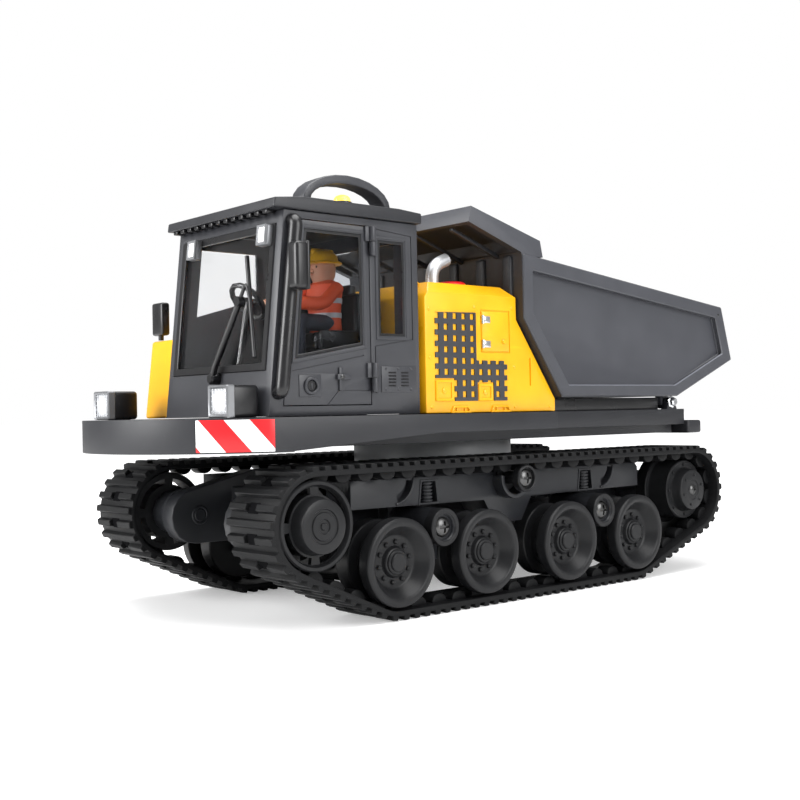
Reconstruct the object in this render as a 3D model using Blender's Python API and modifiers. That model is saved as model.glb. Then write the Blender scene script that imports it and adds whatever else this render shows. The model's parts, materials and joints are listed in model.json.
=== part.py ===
"""A radio-controlled tracked dumper with a rotating deck, a cab and a tipping load bed, about 1:20.

+X is the vehicle's left, +Y its rear and +Z up. The origin lies on the ground under the model's middle.
"""

import math

import bpy
import bmesh
from mathutils import Matrix, Vector

MM = 0.001

# Clearances
SEAT_GAP = 0.3 * MM
RUN_GAP = 0.4 * MM

# Tracks
TRACK_EDGE = 64.5 * MM
BELT_WIDTH = 28 * MM
BELT_BASE = 2.0 * MM
LUG_HEIGHT = 1.6 * MM
LUG_COUNT = 72
BELT_INNER_RADIUS = 17.6 * MM
IDLER_Y = -107.3 * MM
SPROCKET_Y = 117.5 * MM
AXLE_Z = 38 * MM

# Road wheels and bogies
WHEEL_RADIUS = 16.8 * MM
WHEEL_LIFT = 1.2 * MM
WHEEL_INNER_X = 44.5 * MM
WHEEL_OUTER_X = 65.5 * MM
WHEEL_GROOVE_RADIUS = 11.2 * MM
FRONT_BOGIE_Y = -46.8 * MM
REAR_BOGIE_Y = 48.9 * MM
BOGIE_Z = 33 * MM
WHEEL_SPREAD = 23.2 * MM
BOGIE_BOSS_RADIUS = 7.3 * MM
BOGIE_END_X = 64 * MM
PIVOT_PIN_RADIUS = 3 * MM
STUB_RADIUS = 2.2 * MM
END_WHEEL_RADIUS = 16.4 * MM
IDLER_CAP_X = 67 * MM
SPROCKET_CAP_X = 62.5 * MM
HUB_CAP_RADIUS = 9.9 * MM
SPINDLE_RADIUS = 4 * MM
ROLLER_Y = 0.5 * MM
ROLLER_Z = 49.5 * MM
ROLLER_RADIUS = 5.6 * MM
ROLLER_FLANGE = 5.5 * MM
ROLLER_PIN_RADIUS = 1.2 * MM
DRUM_RADIUS = 14.4 * MM
DRUM_X = 57.5 * MM

# Chassis
TUB_HALF_WIDTH = 22 * MM
TUB_BOTTOM = 26 * MM
TUB_TOP = 48 * MM
TUB_NOSE_Y = -107.5 * MM
FORK_Y = -90 * MM
FORK_ROOT_Y = -75 * MM
ARM_INNER_X = 19 * MM
ARM_OUTER_X = 27 * MM
ARM_RISE = 6.6 * MM
ARM_CREST_Y = -80 * MM
ARM_CREST_LENGTH = 18 * MM
TUB_TAIL_Y = 124 * MM
TUB_WALL = 2.5 * MM
PACK_FRONT_GAP = 45 * MM
PACK_REAR_GAP = 50 * MM
BAY_FRONT_Y = -85 * MM
BAY_REAR_Y = 95 * MM
BELLY_PLATE = 2 * MM
HOUSING_RADIUS = 8.75 * MM
HOUSING_REACH = 2 * MM
SPINDLE_REACH = 18 * MM
SWITCH_HALF_WIDTH = 3.4 * MM
FRAME_INNER_X = 37 * MM
FRAME_OUTER_X = 52 * MM
FRAME_TOP = 52.2 * MM
FRAME_BOTTOM = 40.9 * MM
FRAME_FRONT_GAP = 7.4 * MM
FRAME_REAR_GAP = 12.6 * MM
FRAME_DIP = 31 * MM

# Turntable
TURN_Y = 6 * MM
RING_RADIUS = 34 * MM
RING_BORE = 20 * MM
RING_TOP = 53 * MM
HUB_RADIUS = 35.8 * MM
HUB_BORE = 24 * MM
MOTOR_OFFSET = 14 * MM
MOTOR_RADIUS = 9 * MM
MOTOR_HEIGHT = 26 * MM
MOTOR_SHAFT_RADIUS = 2 * MM
PINION_RADIUS = 5.5 * MM
BOARD_HALF_WIDTH = 34 * MM
BOARD_SETBACK = 5 * MM

# Deck
DECK_HALF_WIDTH = 58 * MM
DECK_TOP = 76.8 * MM
SKIRT_BOTTOM = 69.4 * MM
BUMPER_BOTTOM = 64.4 * MM
SKIRT_TAPER_Y = -42 * MM
DECK_BOTTOM = 65.5 * MM
NOSE_SWELL = 6.4 * MM
NOSE_RADIUS = DECK_HALF_WIDTH + NOSE_SWELL
NOSE_TIP_Y = -158.4 * MM
NOSE_CENTRE_Y = NOSE_TIP_Y + NOSE_RADIUS
SKIRT_END_Y = 26.6 * MM
DECK_STEP = 4 * MM
REAR_HALF_WIDTH = DECK_HALF_WIDTH - DECK_STEP
DECK_TAIL_Y = 123.7 * MM
REST_INNER_X = 18 * MM
REST_OUTER_X = 30 * MM
REST_LENGTH = 14 * MM
TAIL_BAR_DEPTH = 14.5 * MM
TAIL_BAR_INSET = 2 * MM
TAIL_BAR_HALF = DECK_HALF_WIDTH - TAIL_BAR_INSET
TAIL_BAR_BOTTOM = 65 * MM
TAIL_BAR_TOP = 71.2 * MM
LAMP_INSET = 7.7 * MM
LAMP_WIDTH = 12.6 * MM
LAMP_OUTER_X = DECK_HALF_WIDTH - LAMP_INSET
LAMP_INNER_X = LAMP_OUTER_X - LAMP_WIDTH
LAMP_DEPTH = 13 * MM
LAMP_HEIGHT = 11.5 * MM
LAMP_OVERHANG = 1 * MM
LAMP_CLEARANCE = 0.815 * MM
LENS_Y = NOSE_CENTRE_Y - math.sqrt(NOSE_RADIUS**2 - LAMP_OUTER_X**2) - LAMP_OVERHANG

# Cab
CAB_INSET = 3.5 * MM
CAB_LEFT = DECK_HALF_WIDTH - CAB_INSET
CAB_RIGHT = -17 * MM
CAB_FRONT_Y = LENS_Y + LAMP_DEPTH + LAMP_CLEARANCE
CAB_REAR_Y = -50 * MM
CAB_RAKE = 8 * MM
CAB_TOP = 151 * MM
CAB_WALL = 2.2 * MM
SILL_Z = 95 * MM
WINDOW_TOP = 145 * MM
PILLAR = 5 * MM
GLASS = 1.2 * MM
DOOR_HINGE_Y = -74 * MM
DOOR_BOTTOM = 81 * MM
DOOR_TOP = 148 * MM
DOOR_SILL = 103.2 * MM
SILL_DROP = 5.5 * MM
RIGHT_SILL = 126 * MM
RIGHT_DROP = 8.5 * MM
STILE = 3.5 * MM
GRIP_SETBACK = 27 * MM
GRIP_LENGTH = 6 * MM
GRIP_HEIGHT = 2 * MM
GRIP_DROP = 12 * MM
HINGE_RADIUS = 1.3 * MM
KNUCKLE_LENGTH = 5.5 * MM
ROOF_OVERHANG = 1.5 * MM
HUMP_LENGTH = 22 * MM
HUMP_ROOT = 3 * MM
HUMP_RISE = 3.4 * MM
HUMP_RIGHT = 24 * MM
HUMP_LEFT = 8 * MM
CHIP_TOP = 5 * MM
ROOF_RISE = 5.2 * MM
ROOF_TOP = CAB_TOP + ROOF_RISE
SEAT_HALF_WIDTH = 13 * MM
STEERING_RADIUS = 8 * MM
STEERING_SETBACK = 11.6 * MM
COLUMN_LEAN = 8 * MM
SEAT_SETBACK = 6 * MM
SEAT_HEIGHT = 33 * MM
SEAT_DEPTH = 26 * MM
SEAT_BACK_RISE = 20 * MM
SEAT_BACK_DEPTH = 6 * MM
TORSO_HALF_WIDTH = 8.5 * MM
TORSO_HALF_DEPTH = 5 * MM
TORSO_HEIGHT = 21.5 * MM
HEAD_RISE = 26 * MM
HEAD_RADIUS = 5.1 * MM
HELMET_RADIUS = 6.3 * MM
ARM_REACH = 24 * MM
ARM_RADIUS = 3 * MM
THIGH_REACH = 18 * MM
LEG_RADIUS = 3.7 * MM
RAIL_RADIUS = 2.5 * MM
RAIL_SETBACK = 2.4 * MM
DOOR_FRONT_GAP = RAIL_SETBACK + RAIL_RADIUS + 1.2 * MM
RAIL_FOOT_RISE = 5.4 * MM
MIRROR_Z = 130 * MM
MIRROR_HALF_HEIGHT = 8.3 * MM
HOOD_MIRROR_WIDTH = 9 * MM
HOOD_MIRROR_HEIGHT = 16 * MM
HOOP_WIDTH = 8 * MM
HOOP_INSET = 3.5 * MM
HOOP_LEFT = CAB_LEFT - HOOP_INSET
HOOP_FRONT_Y = -102 * MM
HOOP_REAR_Y = -60 * MM
HOOP_RISE = 11.3 * MM
HOOP_TOP = ROOF_TOP + HOOP_RISE
HOOP_STRAP = 3.5 * MM

# Covers behind and beside the cab
COVER_INSET = 3 * MM
COVER_HALF_WIDTH = DECK_HALF_WIDTH - COVER_INSET
COVER_FRONT_Y = -47 * MM
COVER_WALL = 2.2 * MM
COVER_TOP = 129.5 * MM
COVER_CHAMFER = 6.5 * MM
COVER_EAVES = COVER_TOP - COVER_CHAMFER
HOOD_RIGHT = -COVER_HALF_WIDTH
HOOD_TOP = 113 * MM
HOOD_SETBACK = 11.4 * MM
EXHAUST_RADIUS = 2.75 * MM
EXHAUST_INSET = 15 * MM
EXHAUST_X = COVER_HALF_WIDTH - EXHAUST_INSET
EXHAUST_SETBACK = 18 * MM

# Load bed
BED_HALF_WIDTH = DECK_HALF_WIDTH
BED_WALL = 2.4 * MM
BED_SIDE_WALL = 3.6 * MM
BED_FLOOR = 83 * MM
BED_FRONT_Y = 6.2 * MM
BED_KNEE_Z = 116.4 * MM
BED_OVER_COVER = 14.3 * MM
BED_FRONT_TOP = COVER_TOP + BED_OVER_COVER
BED_FLOOR_FRONT_Y = 29.7 * MM
BED_FLOOR_REAR_Y = 112.6 * MM
BED_TAIL_Y = 158.4 * MM
BED_TAIL_Z = 101 * MM
BED_REAR_TOP_Y = 150.5 * MM
BED_REAR_TOP = 127.2 * MM
VISOR_REACH = 31 * MM
VISOR_RISE = 10.5 * MM
VISOR_DEPTH = 6.5 * MM
VISOR_PLATE = 2.2 * MM
PANEL_BORDER = 5 * MM
PANEL_RECESS = 1.8 * MM
TIP_Y = 114 * MM
TIP_Z = 80.3 * MM
EAR_INSET = 7.5 * MM
EAR_INNER_X = REAR_HALF_WIDTH - EAR_INSET
EAR_THICKNESS = 3.5 * MM
EAR_RADIUS = 3.2 * MM
TIP_PIN_RADIUS = 1.4 * MM

# Lift rams
RAM_INSET = 4.5 * MM
RAM_X = EAR_INNER_X - RAM_INSET
RAM_BASE_Y = 96 * MM
RAM_BASE_Z = 71 * MM
RAM_HEAD_Y = 36 * MM
RAM_HEAD_Z = 79.3 * MM
RAM_RADIUS = 3.2 * MM
ROD_RADIUS = 1.9 * MM
ROD_LENGTH = 48 * MM
BARREL_LENGTH = 36 * MM
RAM_SLOT_HALF = 4.4 * MM
RAM_PIN_RADIUS = 1.2 * MM

# Sizes worked out from the ones above
BELT_DEPTH = BELT_BASE + LUG_HEIGHT
PATH_LOW_Z = BELT_INNER_RADIUS + BELT_DEPTH
WHEEL_Z = BELT_DEPTH + WHEEL_LIFT + WHEEL_RADIUS
BELT_INNER_X = TRACK_EDGE - BELT_WIDTH
CAB_BASE = DECK_TOP + SEAT_GAP
CAB_SLOPE = CAB_RAKE / (CAB_TOP - DECK_TOP)
SIDES = (("left", 1), ("right", -1))

CHARCOAL = ((0.045, 0.047, 0.05, 1), 0.5, 0)
BLACK = ((0.012, 0.012, 0.013, 1), 0.55, 0)
RUBBER = ((0.03, 0.031, 0.033, 1), 0.75, 0)
YELLOW = ((0.9, 0.42, 0.01, 1), 0.4, 0)
ORANGE = ((0.9, 0.16, 0.02, 1), 0.5, 0)
AMBER = ((1.0, 0.45, 0.02, 1), 0.2, 0)
GLASS_TINT = ((0.5, 0.53, 0.55, 1), 0.08, 0)
CLEAR = ((0.85, 0.87, 0.9, 1), 0.1, 0)
CHROME = ((0.75, 0.75, 0.76, 1), 0.2, 1)
BOARD = ((0.02, 0.2, 0.06, 1), 0.5, 0)

for stale in list(bpy.data.objects):
    bpy.data.objects.remove(stale, do_unlink=True)

parts = bpy.data.collections.new("tracked_dumper")
cutters = bpy.data.collections.new("cutters")
bpy.context.scene.collection.children.link(parts)
bpy.context.scene.collection.children.link(cutters)
materials = {}

AXIS_TURN = {
    "X": Matrix(((0, 0, 1), (1, 0, 0), (0, 1, 0))).to_4x4(),
    "Y": Matrix(((1, 0, 0), (0, 0, -1), (0, 1, 0))).to_4x4(),
    "Z": Matrix.Identity(4),
}


def material(finish):
    """The Principled material of one finish, made once."""
    if finish not in materials:
        made = bpy.data.materials.new(f"finish_{len(materials)}")
        made.use_nodes = True
        shader = made.node_tree.nodes["Principled BSDF"]
        shader.inputs["Base Color"].default_value = finish[0]
        shader.inputs["Roughness"].default_value = finish[1]
        shader.inputs["Metallic"].default_value = finish[2]
        materials[finish] = made
    return materials[finish]


def helper(mesh):
    """A hidden object that only cuts or joins."""
    tool = bpy.data.objects.new("cutter", mesh)
    tool.hide_render = True
    tool.display_type = "WIRE"
    cutters.objects.link(tool)
    return tool


def piece(name, mesh, finish, add=(), cut=(), origin=(0, 0, 0), parent=None):
    """One named sub-part from a mesh in world space, with meshes joined to it and cut from it."""
    made = bpy.data.objects.new(name, mesh)
    parts.objects.link(made)
    mesh.materials.clear()
    mesh.materials.append(material(finish))
    mesh.transform(Matrix.Translation(-Vector(origin)))
    made.location = origin
    if parent:
        made.parent = parent
        made.location = Vector(origin) - parent.location
    for operation, tools in (("UNION", add), ("DIFFERENCE", cut)):
        for tool in tools:
            boolean = made.modifiers.new(operation.lower(), "BOOLEAN")
            boolean.operation = operation
            boolean.object = helper(tool)
    mesh.shade_smooth()
    mesh.set_sharp_from_angle(angle=math.radians(35))
    return made


def pivot(name, place):
    """An empty on a joint's axis, the parent of what turns about it."""
    empty = bpy.data.objects.new(name, None)
    empty.location = place
    empty.empty_display_size = 5 * MM
    parts.objects.link(empty)
    return empty


def mesh_from(build):
    """A mesh filled by a function that works on a bmesh."""
    mesh = bpy.data.meshes.new("shape")
    work = bmesh.new()
    build(work)
    bmesh.ops.recalc_face_normals(work, faces=work.faces)
    work.to_mesh(mesh)
    work.free()
    return mesh


def box(low, high, bevel=0):
    """A block between two corners, with its edges rounded where bevel is given."""
    low = Vector(low)
    high = Vector(high)

    def build(work):
        bmesh.ops.create_cube(work, size=1)
        size = high - low
        bmesh.ops.scale(work, vec=size, verts=work.verts)
        bmesh.ops.translate(work, vec=(low + high) / 2, verts=work.verts)
        if bevel:
            bmesh.ops.bevel(
                work, geom=work.edges[:], offset=bevel, segments=2, profile=0.5, affect="EDGES"
            )

    return mesh_from(build)


def rod(start, end, radius, sides=16, end_radius=None):
    """A capped cylinder or cone between two points."""
    start = Vector(start)
    end = Vector(end)
    way = end - start
    turn = Vector((0, 0, 1)).rotation_difference(way).to_matrix().to_4x4()

    def build(work):
        bmesh.ops.create_cone(
            work,
            cap_ends=True,
            segments=sides,
            radius1=radius,
            radius2=radius if end_radius is None else end_radius,
            depth=way.length,
        )
        bmesh.ops.transform(work, matrix=Matrix.Translation((start + end) / 2) @ turn, verts=work.verts)

    return mesh_from(build)


def ball(centre, radii, across=12, around=8):
    """An ellipsoid from a sphere."""

    def build(work):
        bmesh.ops.create_uvsphere(work, u_segments=across, v_segments=around, radius=1)
        bmesh.ops.scale(work, vec=Vector(radii), verts=work.verts)
        bmesh.ops.translate(work, vec=Vector(centre), verts=work.verts)

    return mesh_from(build)


def slab(loops, low, high, axis="X"):
    """Closed outlines extruded between two planes: (y, z) pairs for X, (x, z) for Y and (x, y) for Z."""
    curve = bpy.data.curves.new("outline", "CURVE")
    curve.dimensions = "2D"
    curve.fill_mode = "BOTH"
    curve.extrude = (high - low) / 2
    for loop in loops:
        spline = curve.splines.new("POLY")
        spline.points.add(len(loop) - 1)
        for point, (u, v) in zip(spline.points, loop):
            point.co = (u, v, 0, 1)
        spline.use_cyclic_u = True
    guide = bpy.data.objects.new("outline", curve)
    cutters.objects.link(guide)
    bpy.context.view_layer.update()
    mesh = bpy.data.meshes.new_from_object(guide.evaluated_get(bpy.context.evaluated_depsgraph_get()))
    bpy.data.objects.remove(guide)
    work = bmesh.new()
    work.from_mesh(mesh)
    bmesh.ops.remove_doubles(work, verts=work.verts, dist=1e-6)
    bmesh.ops.recalc_face_normals(work, faces=work.faces)
    work.to_mesh(mesh)
    work.free()
    middle = (low + high) / 2
    lift = Matrix.Translation((0, 0, -middle if axis == "Y" else middle))
    mesh.transform(AXIS_TURN[axis] @ lift)
    return mesh


def arc(centre, radius, start, end, steps):
    """Points of an arc, its angles in degrees."""
    turns = [math.radians(start + (end - start) * i / steps) for i in range(steps + 1)]
    return [(centre[0] + radius * math.cos(a), centre[1] + radius * math.sin(a)) for a in turns]


def turned(name, profile, finish, y, z, side, sides=20, parent=None):
    """A piece turned about an axle along X, from (distance off the centre plane, radius), outer end first."""
    mesh = bpy.data.meshes.new(name)
    points = [(radius, 0, along) for along, radius in profile]
    edges = [(i, i + 1) for i in range(len(points) - 1)]
    mesh.from_pydata(points, edges, [])
    mesh.materials.append(material(finish))
    made = bpy.data.objects.new(name, mesh)
    parts.objects.link(made)
    made.location = Vector((0, y, z)) - (parent.location if parent else Vector())
    made.parent = parent
    made.rotation_euler = (0, math.radians(90 * side), 0)
    screw = made.modifiers.new("turn", "SCREW")
    screw.steps = sides
    screw.render_steps = sides
    screw.use_merge_vertices = True
    screw.merge_threshold = 1e-5
    screw.use_smooth_shade = True
    return made


def ring(outer, bore, low, high, centre_y, sides=36):
    """A flat ring about the turntable's axis."""
    last = 360 * (1 - 1 / sides)
    loops = [arc((0, centre_y), radius, 0, last, sides - 1) for radius in (outer, bore)]
    return slab(loops, low, high, "Z")


def belt_path(radius_at, stations):
    """Points beside the belt's path: a share of one lap and a radius from the wheel centres for each."""
    corners = [
        Vector((FRONT_BOGIE_Y - WHEEL_SPREAD, PATH_LOW_Z)),
        Vector((REAR_BOGIE_Y + WHEEL_SPREAD, PATH_LOW_Z)),
        Vector((SPROCKET_Y, AXLE_Z)),
        Vector((IDLER_Y, AXLE_Z)),
    ]
    neutral = BELT_INNER_RADIUS + BELT_BASE / 2
    runs = []
    for i, corner in enumerate(corners):
        way = corners[(i + 1) % 4] - corner
        runs.append((corner, way, math.atan2(-way.x, way.y)))
    legs = []
    for i, (corner, way, facing) in enumerate(runs):
        legs.append((way.length, corner, way, facing, 0))
        turn = (runs[(i + 1) % 4][2] - facing) % (2 * math.pi)
        legs.append((neutral * turn, corner + way, None, facing, turn))
    lap = sum(leg[0] for leg in legs)
    points = []
    for share, radius in zip(stations, radius_at):
        left = (share % 1) * lap
        for length, corner, way, facing, turn in legs:
            if left <= length:
                break
            left -= length
        part = left / length
        angle = facing + turn * part
        centre = corner + way * part if way else corner
        points.append((centre.x + radius * math.cos(angle), centre.y + radius * math.sin(angle)))
    return points


def track_belt(name, side):
    """A closed rubber belt with a cross lug on every link."""
    base = BELT_INNER_RADIUS + BELT_BASE
    tip = base + LUG_HEIGHT
    stations = []
    radii = []
    for lug in range(LUG_COUNT):
        for share, radius in ((0.25, base), (0.25, tip), (0.75, tip), (0.75, base)):
            stations.append((lug + share) / LUG_COUNT)
            radii.append(radius)
    outer = belt_path(radii, stations)
    inner = belt_path([BELT_INNER_RADIUS] * LUG_COUNT, [lug / LUG_COUNT for lug in range(LUG_COUNT)])
    low, high = sorted((side * BELT_INNER_X, side * TRACK_EDGE))
    piece(name, slab([outer, inner], low, high), RUBBER)


def across(side, inner, outer):
    """The two ends along X of something on one side, lowest first."""
    return sorted((side * inner, side * outer))


def road_wheel(name, side, y, parent):
    """A double-rimmed wheel with a dished face and a hub cap, turning on a bogie stub."""
    rim = WHEEL_RADIUS
    face = WHEEL_OUTER_X
    bore = STUB_RADIUS + RUN_GAP
    profile = [
        (face + 0.7 * MM, 0),
        (face + 0.7 * MM, rim * 0.44),
        (face - 1.9 * MM, rim * 0.5),
        (face - 1.9 * MM, rim * 0.72),
        (face, rim - 1.6 * MM),
        (face - 1 * MM, rim),
        (face - 5.5 * MM, rim),
        (face - 5.5 * MM, WHEEL_GROOVE_RADIUS),
        (WHEEL_INNER_X + 7.5 * MM, WHEEL_GROOVE_RADIUS),
        (WHEEL_INNER_X + 7.5 * MM, rim - 1.2 * MM),
        (WHEEL_INNER_X, rim - 1.2 * MM),
        (WHEEL_INNER_X, bore),
        (face - 3.5 * MM, bore),
        (face - 3.5 * MM, 0),
    ]
    turned(name, profile, CHARCOAL, y, WHEEL_Z, side, 18, parent)


def bogie(name, side, y):
    """A rocking carrier for two road wheels, with its pivot boss between them."""
    inner = FRAME_INNER_X + 1.3 * MM
    arm_outer = WHEEL_INNER_X - 1 * MM
    low, high = across(side, inner, arm_outer)
    end_reach = 5 * MM
    arm = box(
        (low, y - WHEEL_SPREAD - end_reach, WHEEL_Z - 4 * MM),
        (high, y + WHEEL_SPREAD + end_reach, WHEEL_Z + 4.6 * MM),
    )
    stubs = [
        rod(
            (side * (inner + 1 * MM), y + shift, WHEEL_Z),
            (side * (WHEEL_OUTER_X - 3.5 * MM - RUN_GAP), y + shift, WHEEL_Z),
            STUB_RADIUS,
            12,
        )
        for shift in (-WHEEL_SPREAD, WHEEL_SPREAD)
    ]
    boss = rod((side * inner, y, BOGIE_Z), (side * BOGIE_END_X, y, BOGIE_Z), BOGIE_BOSS_RADIUS, 20)
    low, high = across(side, inner + 0.5 * MM, BOGIE_END_X - 9 * MM)
    web = box((low, y - 4.2 * MM, WHEEL_Z - 2 * MM), (high, y + 4.2 * MM, BOGIE_Z))
    bore = rod(
        (side * (inner - 1 * MM), y, BOGIE_Z),
        (side * (BOGIE_END_X - 4 * MM), y, BOGIE_Z),
        PIVOT_PIN_RADIUS + RUN_GAP,
        16,
    )
    axis = pivot(name + "_pivot", (0, y, BOGIE_Z))
    piece(name, arm, CHARCOAL, [boss, web, *stubs], [bore], (0, y, BOGIE_Z), axis)
    return axis


def end_wheel(name, side, y, cap_x, drum_radius, drum_x):
    """An idler or sprocket wheel: an inner drum that the belt wraps, a groove, and an outer capped hub."""
    rim = END_WHEEL_RADIUS
    bore = SPINDLE_RADIUS + RUN_GAP
    inner = FRAME_INNER_X + 3.5 * MM
    profile = [
        (cap_x, 0),
        (cap_x, HUB_CAP_RADIUS - 1 * MM),
        (cap_x - 1 * MM, HUB_CAP_RADIUS),
        (drum_x - 1.5 * MM, HUB_CAP_RADIUS + 0.4 * MM),
        (drum_x - 1.5 * MM, drum_radius - 2 * MM),
        (drum_x, drum_radius - 1.5 * MM),
        (drum_x, drum_radius),
        (drum_x - 3.5 * MM, drum_radius),
        (drum_x - 3.5 * MM, WHEEL_GROOVE_RADIUS),
        (inner + 9 * MM, WHEEL_GROOVE_RADIUS),
        (inner + 9 * MM, rim),
        (inner, rim),
        (inner, bore),
        (inner + 15 * MM, bore),
        (inner + 15 * MM, 0),
    ]
    turned(name, profile, CHARCOAL, y, AXLE_Z, side, 24)


def upper_roller(name, side):
    """The small roller that carries the belt's top run."""
    bore = ROLLER_PIN_RADIUS + RUN_GAP
    inner = FRAME_OUTER_X - ROLLER_FLANGE
    profile = [
        (BOGIE_END_X, 0),
        (BOGIE_END_X, ROLLER_RADIUS),
        (BOGIE_END_X - 4 * MM, ROLLER_RADIUS),
        (BOGIE_END_X - 4 * MM, ROLLER_RADIUS * 0.5),
        (inner + ROLLER_FLANGE, ROLLER_RADIUS * 0.5),
        (inner + ROLLER_FLANGE, ROLLER_RADIUS),
        (inner, ROLLER_RADIUS),
        (inner, bore),
        (inner + 9 * MM, bore),
        (inner + 9 * MM, 0),
    ]
    turned(name, profile, CHARCOAL, ROLLER_Y, ROLLER_Z, side, 16)


def track_frame(name, side):
    """The beam inside a belt, with its bogie pins, roller pin and roller notch."""
    front_end = IDLER_Y + END_WHEEL_RADIUS + FRAME_FRONT_GAP
    rear_end = SPROCKET_Y - END_WHEEL_RADIUS - FRAME_REAR_GAP
    middle = (FRONT_BOGIE_Y + REAR_BOGIE_Y) / 2
    reach = REAR_BOGIE_Y - middle - WHEEL_SPREAD
    outline = [
        (front_end, FRAME_TOP),
        (front_end, FRAME_BOTTOM + 0.5 * MM),
        (middle - reach * 0.58, FRAME_BOTTOM),
        (middle - reach * 0.32, FRAME_DIP),
        (middle + reach * 0.32, FRAME_DIP),
        (middle + reach * 0.58, FRAME_BOTTOM),
        (rear_end, FRAME_BOTTOM + 0.5 * MM),
        (rear_end, FRAME_TOP - 2 * MM),
        (rear_end - 2 * MM, FRAME_TOP),
    ]
    low, high = across(side, FRAME_INNER_X, FRAME_OUTER_X)
    beam = slab([outline], low, high)
    joined = []
    for y in (FRONT_BOGIE_Y, REAR_BOGIE_Y):
        low, high = across(side, FRAME_INNER_X + 0.1 * MM, FRAME_INNER_X + 1 * MM)
        joined.append(
            box((low, y - 6 * MM, BOGIE_Z - 5 * MM), (high, y + 6 * MM, FRAME_BOTTOM + 2 * MM))
        )
        joined.append(
            rod(
                (side * (FRAME_INNER_X + 0.3 * MM), y, BOGIE_Z),
                (side * (BOGIE_END_X - 4 * MM - RUN_GAP), y, BOGIE_Z),
                PIVOT_PIN_RADIUS,
                14,
            )
        )
    notch_x = FRAME_OUTER_X - ROLLER_FLANGE - RUN_GAP
    half = ROLLER_RADIUS + 0.8 * MM
    low, high = across(side, notch_x, FRAME_OUTER_X + 1 * MM)
    notch = box(
        (low, ROLLER_Y - half, ROLLER_Z - half),
        (high, ROLLER_Y + half, FRAME_TOP + 1 * MM),
    )
    pin = rod(
        (side * (notch_x - 4 * MM), ROLLER_Y, ROLLER_Z),
        (side * (notch_x + 9 * MM), ROLLER_Y, ROLLER_Z),
        ROLLER_PIN_RADIUS,
        10,
    )
    made = piece(name, beam, CHARCOAL, joined, [notch])
    boolean = made.modifiers.new("roller_pin", "BOOLEAN")
    boolean.operation = "UNION"
    boolean.object = helper(pin)


def chassis():
    """The centre tub with its bay, the belly cover, the battery, the switch and the slew ring."""
    middle_z = (TUB_BOTTOM + TUB_TOP) / 2
    nose = arc((TUB_NOSE_Y, middle_z), (TUB_TOP - TUB_BOTTOM) / 2, 90, 270, 8)
    crest_end = ARM_CREST_Y + ARM_CREST_LENGTH
    arm = nose + [
        (crest_end + 2 * ARM_RISE, TUB_BOTTOM),
        (crest_end + 2 * ARM_RISE, TUB_TOP),
        (crest_end, TUB_TOP + ARM_RISE),
        (ARM_CREST_Y, TUB_TOP + ARM_RISE),
    ]
    block = box((-TUB_HALF_WIDTH, FORK_Y, TUB_BOTTOM), (TUB_HALF_WIDTH, TUB_TAIL_Y, TUB_TOP))
    frame_x = FRAME_INNER_X - SEAT_GAP
    housing_x = FRAME_INNER_X + HOUSING_REACH
    spindle_x = FRAME_INNER_X + SPINDLE_REACH
    joined = []
    for side in (-1, 1):
        low, high = across(side, ARM_INNER_X, ARM_OUTER_X)
        joined.append(slab([arm], low, high))
        axle_start = (side * (ARM_OUTER_X - 2 * MM), IDLER_Y, AXLE_Z)
        joined.append(rod(axle_start, (side * housing_x, IDLER_Y, AXLE_Z), HOUSING_RADIUS, 20))
        joined.append(rod(axle_start, (side * spindle_x, IDLER_Y, AXLE_Z), SPINDLE_RADIUS, 16))
    for y in (FRONT_BOGIE_Y + 12 * MM, REAR_BOGIE_Y - 8 * MM):
        joined.append(
            box((-frame_x, y - 6 * MM, FRAME_BOTTOM - 3 * MM), (frame_x, y + 6 * MM, TUB_TOP - 1 * MM))
        )
    bay_half = TUB_HALF_WIDTH - TUB_WALL
    bay = box(
        (-bay_half, BAY_FRONT_Y, TUB_BOTTOM - 1 * MM),
        (bay_half, BAY_REAR_Y, TUB_TOP - TUB_WALL),
    )
    piece("chassis_tub", block, CHARCOAL, joined, [bay])
    switch_y = BAY_FRONT_Y + 20 * MM
    slot = box(
        (-SWITCH_HALF_WIDTH, switch_y - 6 * MM, TUB_BOTTOM - 1 * MM),
        (SWITCH_HALF_WIDTH, switch_y + 6 * MM, TUB_BOTTOM + BELLY_PLATE + 1 * MM),
    )
    plate = box(
        (-bay_half + SEAT_GAP, BAY_FRONT_Y + SEAT_GAP, TUB_BOTTOM),
        (bay_half - SEAT_GAP, BAY_REAR_Y - SEAT_GAP, TUB_BOTTOM + BELLY_PLATE),
    )
    piece("belly_cover", plate, CHARCOAL, [], [slot])
    knob_x = SWITCH_HALF_WIDTH - SEAT_GAP
    flange = TUB_BOTTOM + BELLY_PLATE + SEAT_GAP
    knob = box(
        (-knob_x, switch_y - 4 * MM, TUB_BOTTOM - 1.2 * MM),
        (knob_x, switch_y + 2 * MM, flange + 1 * MM),
    )
    lid = box(
        (-knob_x - 2 * MM, switch_y - 7 * MM, flange),
        (knob_x + 2 * MM, switch_y + 5 * MM, flange + 1.6 * MM),
    )
    piece("power_switch", lid, BLACK, [knob], [], (0, switch_y, TUB_BOTTOM))
    pack = box(
        (-bay_half + 3 * MM, BAY_FRONT_Y + PACK_FRONT_GAP, flange),
        (bay_half - 3 * MM, BAY_REAR_Y - PACK_REAR_GAP, TUB_TOP - TUB_WALL - 3 * MM),
        1.5 * MM,
    )
    piece("battery_pack", pack, ORANGE)
    piece("slew_ring", ring(RING_RADIUS, RING_BORE, TUB_TOP + SEAT_GAP, RING_TOP, TURN_Y), BLACK)


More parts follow.
